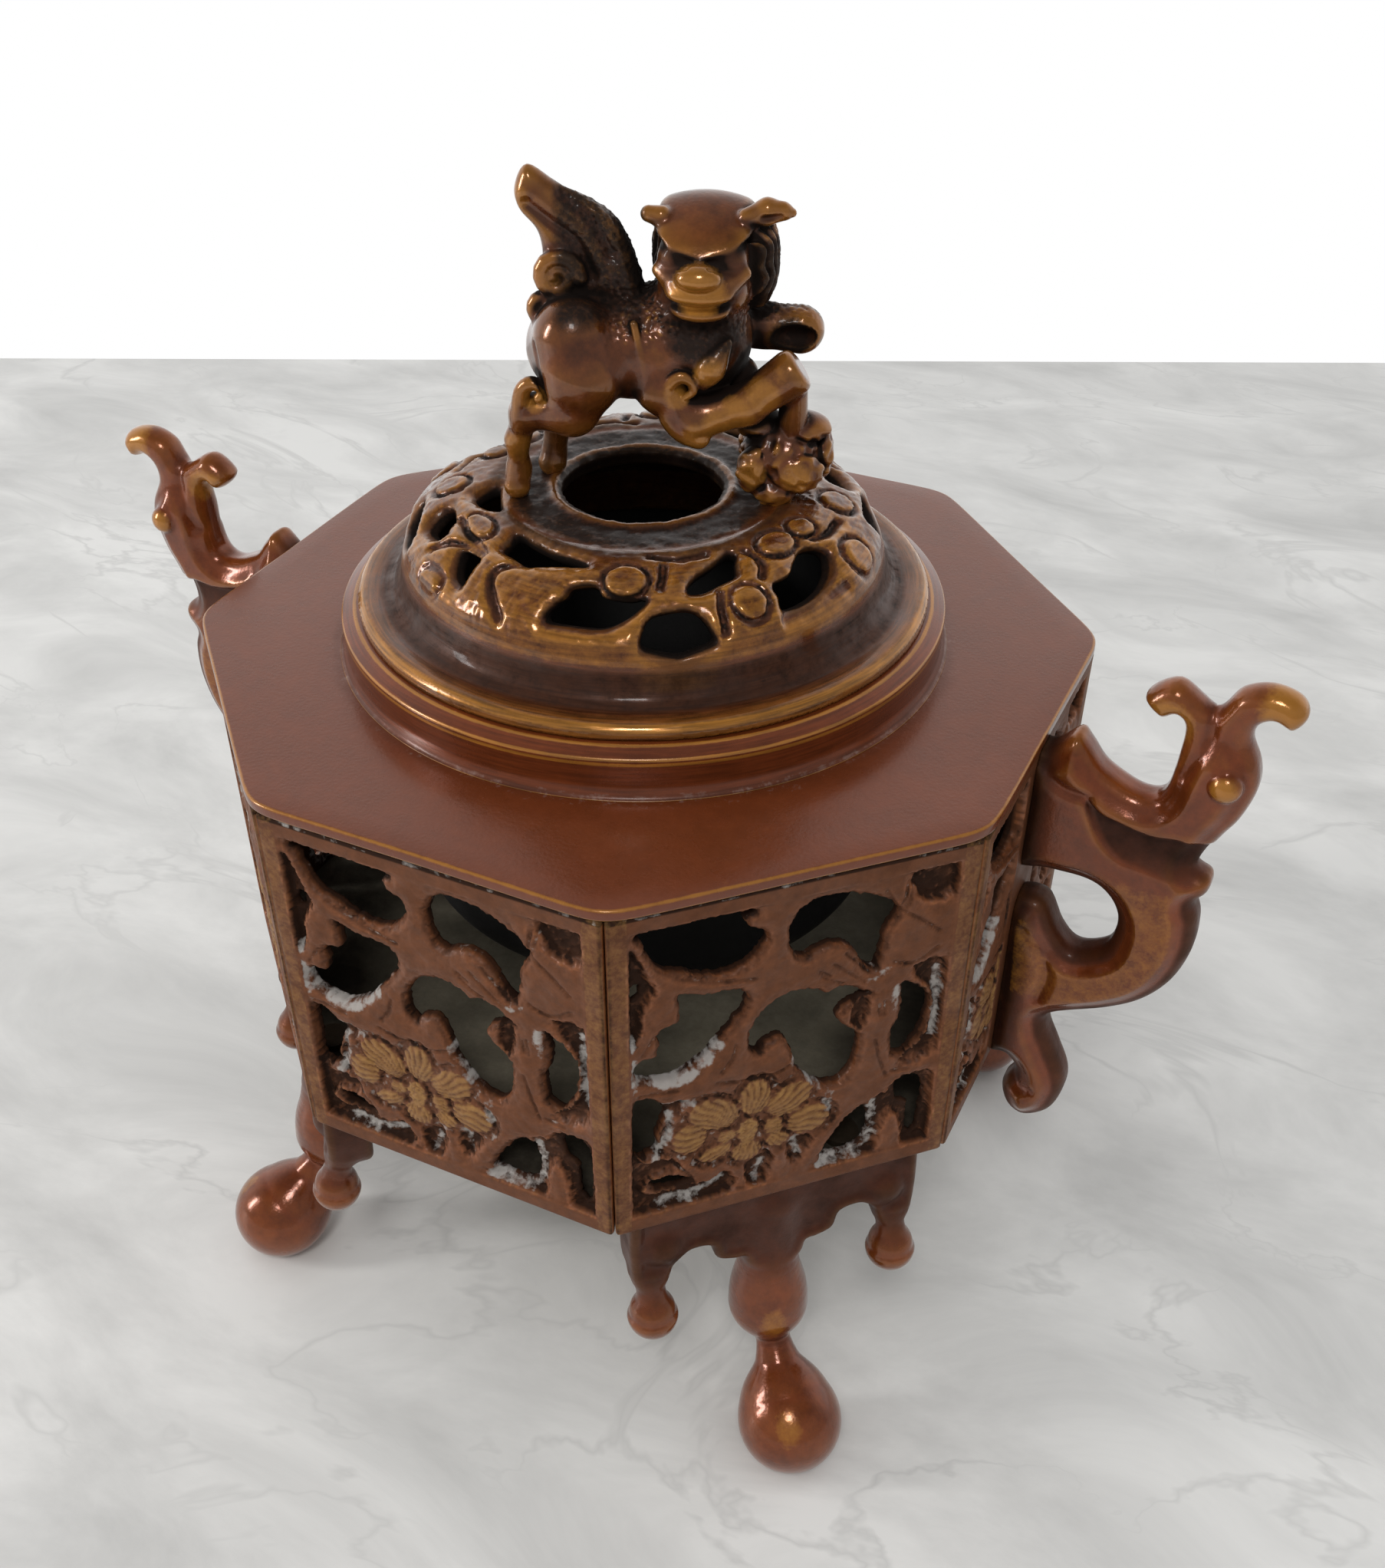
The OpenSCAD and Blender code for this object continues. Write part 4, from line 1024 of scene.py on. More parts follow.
def ragged(p):
    """Uneven edge of a rough casting: a broad and a fine product of sines with bent phases, from -1 to 1."""
    u, v = p.T
    broad = np.sin(2.3 * u + 1.3 * np.sin(1.9 * v)) * np.sin(2.7 * v + 1.7 * np.sin(1.5 * u + 0.6))
    fine = np.sin(6.1 * u + 1.9 * np.sin(4.3 * v)) * np.sin(5.3 * v + 1.6 * np.sin(4.9 * u + 2))
    return 0.55 * broad + 0.45 * fine


def petal_rays(p):
    """Fine lines that run out from the flower's middle, from -1 to 1."""
    away = p - FLOWER_MIDDLE
    return np.cos(np.arctan2(away[:, 1], away[:, 0]) * 46 + 1.5 * np.sin(1.3 * length(away)))


def petal_gap(p):
    """Distance to the flower's petals, whose edges are notched."""
    gap = np.full(len(p), np.inf)
    for u, v, across, up, turn in PETALS:
        c, s = math.cos(math.radians(turn)), math.sin(math.radians(turn))
        radii = (across * PETAL_SPREAD, up * PETAL_SPREAD)
        gap = np.minimum(gap, ellipsoid(p, (u, v), radii, np.array([(c, -s), (s, c)])))
    return gap + 0.22 * np.sin(p[:, 0] * 4.1 + np.sin(p[:, 1] * 3.3)) * np.sin(p[:, 1] * 4.7)


def field_maps(has_strip):
    """Flat maps of a panel: its relief, the gap to its openings, its flower and its deposit."""

    def keep_strip(p, gap):
        """A gap that leaves out the strip behind a handle."""
        return np.maximum(gap, HANDLE_STRIP / 2 - np.abs(p[:, 0])) if has_strip else gap

    def off_strip(p):
        """Whether a place lies clear of that strip."""
        return keep_strip(p, np.full(len(p), -1.0)) < 0

    def openings(p):
        """Gap to the nearest opening, whose edge is ragged."""
        return keep_strip(p, nearest_outline(p, OPENINGS, 5) + 0.3 * ragged(p))

    open_gap = FlatMap(*PANEL_AREA, openings)

    def relief(p):
        """Height of the face: leaves, rough ground, flower and veins, inside a flat frame."""
        gap = open_gap(p)
        low = nearest_outline(p, GROUNDS, 4) + 0.35 * ragged(p + 5)
        shoulder = np.minimum(np.maximum(gap, 0), np.maximum(low, 0))
        height = LEAF_LEVEL + 0.35 * soft_step(0, 2.4, shoulder) - 0.45 * soft_step(0.7, 0, shoulder)
        rough = GROUND_LEVEL + 0.22 * ragged(p * 0.9 + 2)
        height = np.where(low < 0.35, rough + (height - rough) * soft_step(-0.35, 0.35, low), height)
        petals = petal_gap(p)
        flower = -0.8 + 0.5 * soft_step(0.3, -0.3, petals) + 0.25 * soft_step(-0.2, -1.8, petals)
        flower = flower - 0.15 * soft_step(0.1, 0.9, petal_rays(p)) * soft_step(0.2, -0.4, petals)
        in_flower = soft_step(1.5, 0.2, petals)
        height = height * (1 - in_flower) + flower * in_flower
        for points in VEINS:
            height = height - VEIN_DEPTH * bell(line_gap(p, curve(points, 4)), VEIN_WIDTH)
        height = height + 0.1 * ragged(p * 0.7 + 9)
        ends = np.maximum(FIELD_LOW - p[:, 1], p[:, 1] - FIELD_HIGH)
        side = np.maximum(np.abs(p[:, 0]) - FIELD_HALF, ends)
        side = keep_strip(p, side + 0.15 * ragged(p + 1))
        return height * soft_step(0.15, -0.25, side)

    def gilding(p):
        """How golden the petals are, broken by their lines."""
        tip = soft_step(0.6, 3.2, length(p - FLOWER_MIDDLE))
        shown = soft_step(0.2, -0.4, petal_gap(p)) * (1 - 0.3 * soft_step(-0.2, 0.9, petal_rays(p)))
        return shown * (0.76 - 0.1 * tip) * off_strip(p)

    def deposit(p):
        """How thick the pale deposit lies round the flower, along lines and veins, and at the openings."""
        near = np.maximum.reduce([
            0.54 * bell(petal_gap(p) - 0.7, 0.6), 0.95 * bell(nearest_line(p, CHALK_LINES, 4), 0.9),
            0.5 * bell(nearest_line(p, VEINS, 4), 0.25), 0.3 * bell(open_gap(p), 0.5),
        ])
        return near * (0.55 + 0.45 * soft_step(-0.4, 0.5, ragged(p * 0.45 + 4))) * off_strip(p)

    relief_map, gilding_map, deposit_map = [FlatMap(*PANEL_AREA, part) for part in (relief, gilding, deposit)]
    return relief_map, open_gap, gilding_map, deposit_map


def panel_skin(has_strip):
    """Points, quads and marks of a panel in its own frame: across, up and out."""
    relief, open_gap, gilding, deposit = field_maps(has_strip)
    tilt = math.atan(PANEL_LEAN / (PANEL_HIGH[2] - BODY_LOW))
    slant = (PANEL_HIGH[2] - BODY_LOW) / math.cos(tilt)
    face_low = FACE_TOP - PANEL_LEAN

    def distance(p):
        """A sheet with a cast face and openings, mitred at its sides."""
        flat = p[:, :2]
        face = (p[:, 2] - relief(flat)) * 0.6
        sheet = smooth_max(face, -PANEL_THICK - p[:, 2], 0.2)
        sheet = smooth_max(sheet, -open_gap(flat), 0.3)
        room = face_low + p[:, 1] * math.sin(tilt) + p[:, 2]
        mitre = (np.abs(p[:, 0]) - room * math.tan(HALF_ANGLE)) * math.cos(HALF_ANGLE) + PANEL_SEAM / 2
        ends = np.maximum(-p[:, 1], p[:, 1] - slant)
        return smooth_max(smooth_max(sheet, mitre, 0.7), ends, 0.5)

    step = sizes().panel_step / MM
    points, quads = skin(distance, (-PANEL_HALF, 0, -PANEL_THICK), (PANEL_HALF, slant, 0.2), step)
    marks = wear_marks(distance, points)
    flat, (across, along, height) = points[:, :2], points.T
    front = soft_step(-2.2, -1.4, height)
    rails = 0.45 * soft_step(FIELD_HALF - 0.2, FIELD_HALF + 0.4, np.abs(across))
    marks["gilt"] = np.maximum(gilding(flat), rails) * front
    seam = soft_step(slant - 1.1, slant - 0.5, along)
    dusty_seam = 0.5 * seam * soft_step(-0.6, 0.5, ragged(flat * 0.3))
    marks["chalk"] = np.maximum(deposit(flat) * soft_step(0.05, -0.4, height), dusty_seam)
    crust = 0.46 * soft_step(1.3, 0.1, open_gap(flat)) * (0.4 + 0.6 * soft_step(-0.5, 0.4, ragged(flat)))
    behind = 0.6 * soft_step(-1.0, -1.5, height)
    marks["hollow"] = np.maximum.reduce([marks["hollow"], 0.7 * seam, behind, crust])
    c, s = math.cos(tilt), math.sin(tilt)
    out = face_low + height * c + along * s
    up = BODY_LOW + along * c - height * s
    return np.column_stack([out, across, up]), quads, marks


class BURNER_OT_panels(bpy.types.Operator):
    """Makes the eight pierced panels"""

    bl_idname = "burner.panels"
    bl_label = "Panels"

    def execute(self, context):
        """Makes a plain panel and one with a handle's strip, and turns them to their sides."""
        skins = {strip: panel_skin(strip) for strip in (False, True)}
        for name, angle in PANEL_ANGLES.items():
            points, quads, marks = skins[angle % 180 == 0]
            set_round({name: angle}, points, quads, marks, panel_bronze())
        return {"FINISHED"}


# Feet

def foot_distance():
    """Distance to one foot: across, out and up."""
    half = np.array(BRACKET_EDGE, float)
    edge = np.vstack([half, (half * (-1, 1))[-2::-1]])
    outline = np.vstack([curve(edge, 5), [(-20.4, 0.2), (20.4, 0.2)]])
    bracket = FlatMap(*BRACKET_AREA, lambda p: outline_gap(p, outline))
    lip = FlatMap(*BRACKET_AREA, lambda p: line_gap(p, curve(edge, 5)))
    leg, neck, drop, pendant = [curve(balls, 4) for balls in (LEG, NECK, DROP, PENDANT)]

    def distance(p):
        """A bracket with a sunk face, two pendants, a leg and a drop, cut flat below and above."""
        near = p.copy()
        flat = np.column_stack([p[:, 0], p[:, 2] - BODY_LOW])
        depth = np.abs(p[:, 1] - BRACKET_FACE + BRACKET_DEPTH / 2) - BRACKET_DEPTH / 2
        on_face = soft_step(BRACKET_FACE - 2, BRACKET_FACE - 1, p[:, 1])
        shallow = 0.5 * soft_step(0.9, 2.2, lip(flat)) * on_face
        solid = slab(bracket(flat), depth + shallow, 1.0)
        near[:, 0] = np.abs(p[:, 0])
        solid = smooth_min(solid, ball_chain(near, [CLOUD_SWELL]), 1.6)
        solid = smooth_min(solid, ball_chain(near, pendant), 0.7)
        lower = smooth_min(ball_chain(p, neck), ball_chain(p, drop), 0.8)
        solid = smooth_min(smooth_min(solid, ball_chain(p, leg), 1.6), lower, 1.0)
        return np.maximum(np.maximum(solid, -p[:, 2]), p[:, 2] - BODY_LOW)

    return distance


class BURNER_OT_feet(bpy.types.Operator):
    """Makes the four feet with their brackets, bulbs, drops and pendants"""

    bl_idname = "burner.feet"
    bl_label = "Feet"

    def execute(self, context):
        """Makes one foot and turns it to its sides."""
        distance = foot_distance()
        points, quads = skin(distance, *FOOT_BOX, sizes().cast_step / MM)
        marks = wear_marks(distance, points)
        # Painted amber sheen on the drop and the bulb, carried by the gilt mark
        marks["gilt"] = np.zeros(len(points))
        for middle in PAINTED_SHEEN_SPOTS:
            glow = soft_step(4.6, 1, length((points - middle) / (0.8, 1, 1.4)))
            marks["gilt"] = np.maximum(marks["gilt"], 0.6 * glow)
        # Painted shade under the body, growing upward over the bulb's top, the pendants' necks and the
        # bracket
        painted_shade = soft_step(BODY_LOW - 24, BODY_LOW - 10, points[:, 2])
        marks["hollow"] = np.maximum(marks["hollow"], 0.52 * painted_shade)
        placed = np.column_stack([points[:, 1], points[:, 0], points[:, 2]])
        set_round(FOOT_ANGLES, placed, quads[:, ::-1], marks, cast_bronze())
        return {"FINISHED"}


# Handles

def handle_distance():
    """Distance to one handle, and its paint: out from the panel's face, across, and up from the plate."""
    flat = FlatMap(*HANDLE_AREA, lambda p: nearest_outline(p, [HANDLE_OUTLINE], 5))
    recess = FlatMap(*HANDLE_AREA, lambda p: nearest_outline(p, [HANDLE_RECESS], 4))

    def sunk(p):
        """Depth of the recess under the jaw and of the grooves."""
        below_jaw = 1.2 * soft_step(0.5, -0.6, recess(p)) * soft_step(-17.5, -10.5, p[:, 1])
        return np.maximum(below_jaw, 0.6 * bell(nearest_line(p, HANDLE_GROOVES, 5), 0.9))

    low = FlatMap(*HANDLE_AREA, sunk)
    lean = PANEL_LEAN / (PANEL_HIGH[2] - BODY_LOW)
    plate_edge = PLATE_HIGH[0] - FACE_TOP + 0.1

    def distance(p):
        """A bevelled slab with an eye on each side, cut to fit the panel and the plate's edge."""
        place = p[:, (0, 2)]
        gap = flat(place)
        chamfer = 1.1 * soft_step(-3.2, -1.3, gap)
        horn = 1.5 * soft_step(1, 6, p[:, 2])
        across = np.abs(p[:, 1]) - HANDLE_HALF + chamfer * soft_step(6, 1, p[:, 2]) + horn + low(place)
        solid = slab(gap, across * 0.8, 1.9)
        eye = p.copy()
        eye[:, 1] = np.abs(p[:, 1])
        boss = ellipsoid(eye, (HANDLE_EYE[0], HANDLE_HALF - 0.7, HANDLE_EYE[1]), (2.1, 1.9, 2.1))
        solid = smooth_min(solid, boss, 0.35)
        panel = -p[:, 0] + p[:, 2] * lean
        plate = np.maximum(p[:, 0] - plate_edge, np.abs(p[:, 2] + 0.8) - 0.9)
        return np.maximum(np.maximum(solid, panel), -plate)

    def paint(p):
        """Painted shade in the recess under the jaw, at the root and on the bevels, and how golden the tips,
        the eye and the body are.
        """
        place = p[:, (0, 2)]
        body = soft_step(-14, -20, p[:, 2])
        # Painted shade on the bevels, in the recess deepest up under the jaw, and at the root by the panel
        bevel = soft_step(-2.2, -1.0, flat(place)) * body
        below_jaw = soft_step(0.5, -0.8, recess(place)) * (0.55 + 0.45 * soft_step(-17.5, -12, p[:, 2]))
        dark = np.maximum(0.5 * bevel, 0.56 * below_jaw)
        dark = np.maximum(dark, 0.6 * soft_step(5, 0.5, p[:, 0]))
        gold = 0.5 * soft_step(-1.8, -3, flat(place)) * body * soft_step(-46, -40, p[:, 2])
        for tip, reach in ((HANDLE_TIPS[0], 5.5), (HANDLE_TIPS[1], 6.5), (HANDLE_EYE, 2.8)):
            gold = np.maximum(gold, 0.85 * soft_step(reach, 0.3 * reach, length(place - tip)))
        return dark, gold

    return distance, paint


class BURNER_OT_handles(bpy.types.Operator):
    """Makes the two dragon-scroll handles"""

    bl_idname = "burner.handles"
    bl_label = "Handles"

    def execute(self, context):
        """Makes the right handle and turns it to the left."""
        distance, paint = handle_distance()
        points, quads = skin(distance, *HANDLE_BOX, sizes().cast_step / MM)
        marks = wear_marks(distance, points)
        dark, marks["gilt"] = paint(points)
        # The painted shade joins the hollow mark, where the dark fill paints it
        marks["hollow"] = np.maximum(marks["hollow"], dark)
        placed = points + (FACE_TOP, 0, PLATE_TOP)
        set_round(HANDLE_ANGLES, placed, quads, marks, cast_bronze())
        return {"FINISHED"}


# Lid

def polar(points):
    """Plan places of angles from the front in degrees and distances from the axis."""
    angle, radius = np.asarray(points, float).T
    angle = np.radians(angle)
    return np.column_stack([radius * np.sin(angle), -radius * np.cos(angle)])


def lid_section():
    """Closed section of the lid: flat ring, quarter-ellipse dome, hollow cove, rim, spigot and inner face."""
    rim, rim_top, low = LID_HIGH[0], SEAT + 1.8, LID_LOW[2]
    inner = SPIGOT_RADIUS - LID_WALL
    quarter = np.linspace(0, math.pi / 2, 10)
    dome = np.column_stack([
        RING_RADIUS + DOME_WIDTH * np.sin(quarter), DOME_SPRING + DOME_RISE * np.cos(quarter),
    ])
    cove = curve([
        (DOME_RADIUS, DOME_SPRING), (DOME_RADIUS + 0.4, DOME_SPRING - 1.7),
        (DOME_RADIUS + 1.2, rim_top + 0.7), (DOME_RADIUS + 2.6, rim_top),
        (DOME_RADIUS + 4.2, rim_top + 0.05), (rim - 0.7, rim_top),
    ], 4)[1:]
    under = np.column_stack([
        inner - (inner - RING_RADIUS) * (1 - np.cos(quarter)),
        DOME_SPRING - LID_WALL / 2 + (DOME_RISE - LID_WALL / 2) * np.sin(quarter),
    ])
    foot = [(rim, rim_top - 0.7), (rim, SEAT), (SPIGOT_RADIUS, SEAT), (SPIGOT_RADIUS, low), (inner, low)]
    return np.vstack([[(VENT_RADIUS, LID_TOP)], dome, cove, foot, under, [(VENT_RADIUS, LID_TOP - LID_WALL)]])


def vent_lip(radius):
    """Swelling round the vent, from 0 to 1."""
    return bell(radius - VENT_RADIUS - 1, 0.7)


def lid_distance():
    """Distance to the lid before it is turned to its place."""
    loop = lid_section()
    section = FlatMap(*LID_SECTION_AREA, lambda p: outline_gap(p, loop))

    def openings(p):
        """Gap to the nearest opening, in front or behind."""
        edges = [polar(points) for points in LID_OPENINGS]
        return np.minimum(*[nearest_outline(p * half_turn, edges, 4) for half_turn in (1, -1)])

    open_gap = FlatMap(*LID_AREA, openings)

    def carving(p):
        """Height of the leaves, folds and buds on the dome, and of the cast ring round the vent."""
        radius = length(p)
        on_dome = soft_step(RING_RADIUS - 0.2, RING_RADIUS + 1.2, radius)
        on_dome = on_dome * soft_step(DOME_RADIUS, DOME_RADIUS - 1.6, radius)
        gap = np.maximum(open_gap(p), 0)
        height = 0.45 * soft_step(0, 1.6, gap) - 0.35 * soft_step(0.5, 0, gap) + 0.12 * ragged(p)
        for half_turn in (1, -1):
            q = p * half_turn
            for points in LID_FOLDS:
                height = height - FOLD_DEPTH * bell(line_gap(q, curve(polar(points), 4)), FOLD_WIDTH)
            for angle, away, along, out in LID_BUDS:
                c, s = math.cos(math.radians(angle)), math.sin(math.radians(angle))
                bud = ellipsoid(q, polar([(angle, away)]), (along, out), np.array([(c, s), (s, -c)]))
                height = height + 0.3 * soft_step(0, -0.5, bud) - 0.5 * bell(bud - 0.1, 0.3)
        on_ring = soft_step(RING_RADIUS + 0.6, RING_RADIUS - 0.6, radius)
        uneven = 0.17 + 0.17 * ragged(p * 0.4 + 3)
        return height * on_dome + (0.5 * vent_lip(radius) + uneven) * on_ring

    relief = FlatMap(*LID_AREA, carving)

    def distance(p):
        """A turned shell with carving on its outside, pierced square to the dome."""
        radius = length(p[:, :2])
        rise = p[:, 2] - DOME_SPRING
        reach = np.maximum(radius - RING_RADIUS, 0) / DOME_WIDTH
        turn = np.arctan2(reach, np.maximum(rise, 0) / DOME_RISE + 1e-6)
        spread = np.where(radius < RING_RADIUS, radius, RING_RADIUS + DOME_WIDTH * np.sin(turn))
        plan = p[:, :2] * (spread / np.maximum(radius, 1e-6))[:, None]
        shell = section(np.column_stack([radius, p[:, 2]]))
        outside = soft_step(0.86, 0.98, np.hypot(reach, rise / DOME_RISE)) * soft_step(-1, 0.5, rise)
        shell = (shell - relief(plan) * outside) * 0.8
        cut = np.where(p[:, 2] > SEAT + 2.2, open_gap(plan), 9)
        return smooth_max(shell, -cut * 0.8, 0.5)

    return distance


def lid_marks(points, marks):
    """Adds soot round the vent and inside, a darker cove, painted shade on the dome's back and sides,
    painted golden sheen on its front, the turning, and the rubbed rim.
    """
    radius, height = length(points[:, :2]), points[:, 2]
    rise = height - DOME_SPRING
    below = soft_step(1.2, -0.4, rise)
    groove = below * soft_step(DOME_RADIUS + 4.6, DOME_RADIUS + 2.2, radius)
    ring = soft_step(RING_RADIUS + 2.2, RING_RADIUS - 1.6, radius)
    ring = ring * soft_step(LID_TOP - 1.2, LID_TOP - 0.4, height)
    # The front faces the camera once turned: painted golden sheen there, painted shade on the back and sides
    facing = np.degrees(np.abs(np.arctan2(points[:, 0], -points[:, 1])))
    front = soft_step(125, 65, facing)
    dome = soft_step(-0.4, 1, rise) * soft_step(RING_RADIUS, RING_RADIUS + 1, radius)
    smoked = dome * soft_step(RING_RADIUS + 6, RING_RADIUS + 1, radius)
    reach = np.maximum(radius - RING_RADIUS, 0) / DOME_WIDTH
    inside = soft_step(0.96, 0.9, np.hypot(reach, rise / DOME_RISE)) * (radius < DOME_RADIUS - 0.8)
    inside = np.maximum(inside, soft_step(VENT_RADIUS + 0.9, VENT_RADIUS + 0.3, radius))
    # Dark mark: a darker cove, soot on the vent ring, round it and inside, and painted shade on the dome's
    # back and sides
    marks["soot_hair_and_shade"] = np.maximum.reduce([
        0.62 * groove, 0.75 * ring * (1 - 0.4 * vent_lip(radius)), 0.62 * smoked,
        0.5 * dome * (1 - front), 0.8 * inside,
    ])
    raised = soft_step(0.4, 0.15, marks["hollow"])
    # Painted golden sheen on the raised carving at the front of the dome
    marks["gilt"] = 0.6 * dome * front * raised * soft_step(RING_RADIUS + 2, RING_RADIUS + 6, radius)
    marks["turned"] = np.maximum(below, 0.5 * dome)
    rim = LID_HIGH[0]
    on_rim = soft_step(rim - 1.1, rim - 0.4, radius) * soft_step(SEAT + 0.8, SEAT + 1.4, height)
    marks["edge"] = np.maximum(marks["edge"], 0.7 * on_rim)


class BURNER_OT_lid(bpy.types.Operator):
    """Makes the pierced lid"""

    bl_idname = "burner.lid"
    bl_label = "Lid"

    def execute(self, context):
        """Makes the lid and turns it with its lion."""
        distance = lid_distance()
        rim = LID_HIGH[0]
        low, high = (-rim, -rim, LID_LOW[2]), (rim, rim, LID_TOP + 0.6)
        points, quads = skin(distance, low, high, sizes().lid_step / MM)
        marks = wear_marks(distance, points)
        lid_marks(points, marks)
        placed = turned(points, LID_TURN)
        piece("lid_skin", placed, quads, marks, lid_bronze(), "lid", ["lid"])
        return {"FINISHED"}


# Lion

def head_distance(p):
    """Distance to the lion's head: a skull under a sloping crown, with a muzzle, a mane and ears.

    Places are measured to the lion's right of its face, forward from the head's middle, and up.
    """
    forward = np.array(HEAD_FORWARD) / np.linalg.norm(HEAD_FORWARD)
    right = np.cross(forward, (0, 0, 1))
    right /= np.linalg.norm(right)
    q = (p - HEAD_MIDDLE) @ np.column_stack([right, forward, np.cross(right, forward)])
    pair = q.copy()
    pair[:, 0] = np.abs(q[:, 0])
    away = np.abs(q - (0, -0.2, -1.6)) - (2.9, 2.8, 2)
    skull = length(np.maximum(away, 0)) + np.minimum(away.max(1), 0) - 2.5
    c, s = math.cos(math.radians(CROWN_SLOPE)), math.sin(math.radians(CROWN_SLOPE))
    tilt = np.array([(1, 0, 0), (0, c, s), (0, -s, c)])
    cap = smooth_max(ellipsoid(q, (0, 0, 1.4), (9.5, 7.3, 3.5), tilt), pair[:, 0] - 6, 1.5)
    cap = smooth_max(cap, 1.2 + 0.3 * pair[:, 0] - q[:, 2], 0.8)
    muzzle = ellipsoid(q, (0, 5, -1.7), (4.3, 2.9, 2.5))
    cheeks = ball_chain(pair, CHEEK)
    nose = ellipsoid(q, (0, 7.2, 0.1), (2.7, 1.7, 1.5))
    lip = ellipsoid(q, (0, 6.3, -2.2), (4, 2.1, 1.35))
    jaw = ellipsoid(q, (0, 5.2, -4.7), (3.6, 2.5, 1.25))
    solid = skull
    for part, blend in ((cap, 0.7), (muzzle, 0.8), (cheeks, 1.0), (nose, 0.8), (lip, 0.5), (jaw, 0.4)):
        solid = smooth_min(solid, part, blend)
    for slit in (EYE_SLIT, MOUTH_SLIT):
        solid = smooth_max(solid, -ball_chain(pair, slit), 0.3)
    strands = 0.25 * np.sin(5.2 * q[:, 1] + 1.4 * np.sin(1.6 * q[:, 2]))
    mane = ellipsoid(q, (-6, -2.8, -1.8), (2.6, 4.2, 6)) + strands
    mane = smooth_min(mane, ellipsoid(q, (4.4, -5.2, -2.4), (2.6, 3.4, 5.6)) + strands, 0.6)
    solid = smooth_min(solid, mane, 0.7)
    ears = smooth_min(ball_chain(q, LONG_EAR, 0.6), ball_chain(q, SHORT_EAR), 0.4)
    ears = smooth_max(ears, -ball_chain(q, EAR_HOLLOW), 0.4)
    return smooth_min(solid, ears, 0.5)


def curl_distance(p, middle, radius, tube):
    """Distance to a spiral roll of one and a half turns in the lion's side."""
    turn = np.linspace(0, 3 * math.pi, 22)
    reach = radius * (1 - 0.72 * turn / turn[-1])
    balls = np.column_stack([
        middle[0] + reach * np.cos(turn), np.full(len(turn), middle[1]), middle[2] + reach * np.sin(turn),
        tube * (1 - 0.3 * turn / turn[-1]),
    ])
    return ball_chain(p, balls)


def coarse_hair(p):
    """Uneven cast hair: a product of three sines whose phases are bent by the other axes."""
    x, y, z = p.T
    bent = np.sin(4.1 * x + 1.7 * np.sin(2.3 * z) + y) * np.sin(4.7 * z + 1.9 * np.sin(1.9 * y + x))
    return 0.13 * bent * np.sin(4.3 * y + 1.6 * np.sin(2.1 * x) + 0.7)


def lion_marks(p):
    """Where dark hair covers the lion, where painted shade darkens its far side and far forepaw, and where
    rubbing has bared the golden metal.
    """
    neck = soft_step(8, 4.5, length((p - (7.5, -2, 43)) / (1, 1.2, 0.75)))
    back = soft_step(43, 46, p[:, 2]) * soft_step(2, 0, p[:, 0]) * soft_step(-12, -9, p[:, 0])
    tail = soft_step(48, 52, p[:, 2]) * soft_step(-12, -7, p[:, 0]) * soft_step(2, -1, p[:, 0])
    mane = soft_step(12.8, 14, p[:, 0]) * soft_step(43, 46, p[:, 2]) * soft_step(55, 53, p[:, 2])
    # Painted shade on the far side and on the far forepaw
    far = soft_step(1, 5, p[:, 1])
    foot = soft_step(26, 22, p[:, 2])
    far_paw_shade = soft_step(4, 2, length(p - (18.6, 2, 40.2)))
    gold = np.zeros(len(p))
    for x, y, z, reach, most in LION_GOLD:
        gold = np.maximum(gold, most * soft_step(reach, 0.35 * reach, length(p - (x, y, z))))
    soot_hair_and_shade = 0.76 * np.maximum.reduce([neck, 0.95 * back, 0.85 * tail, mane, 0.9 * far, 0.5 * foot, far_paw_shade])
    return soot_hair_and_shade, gold


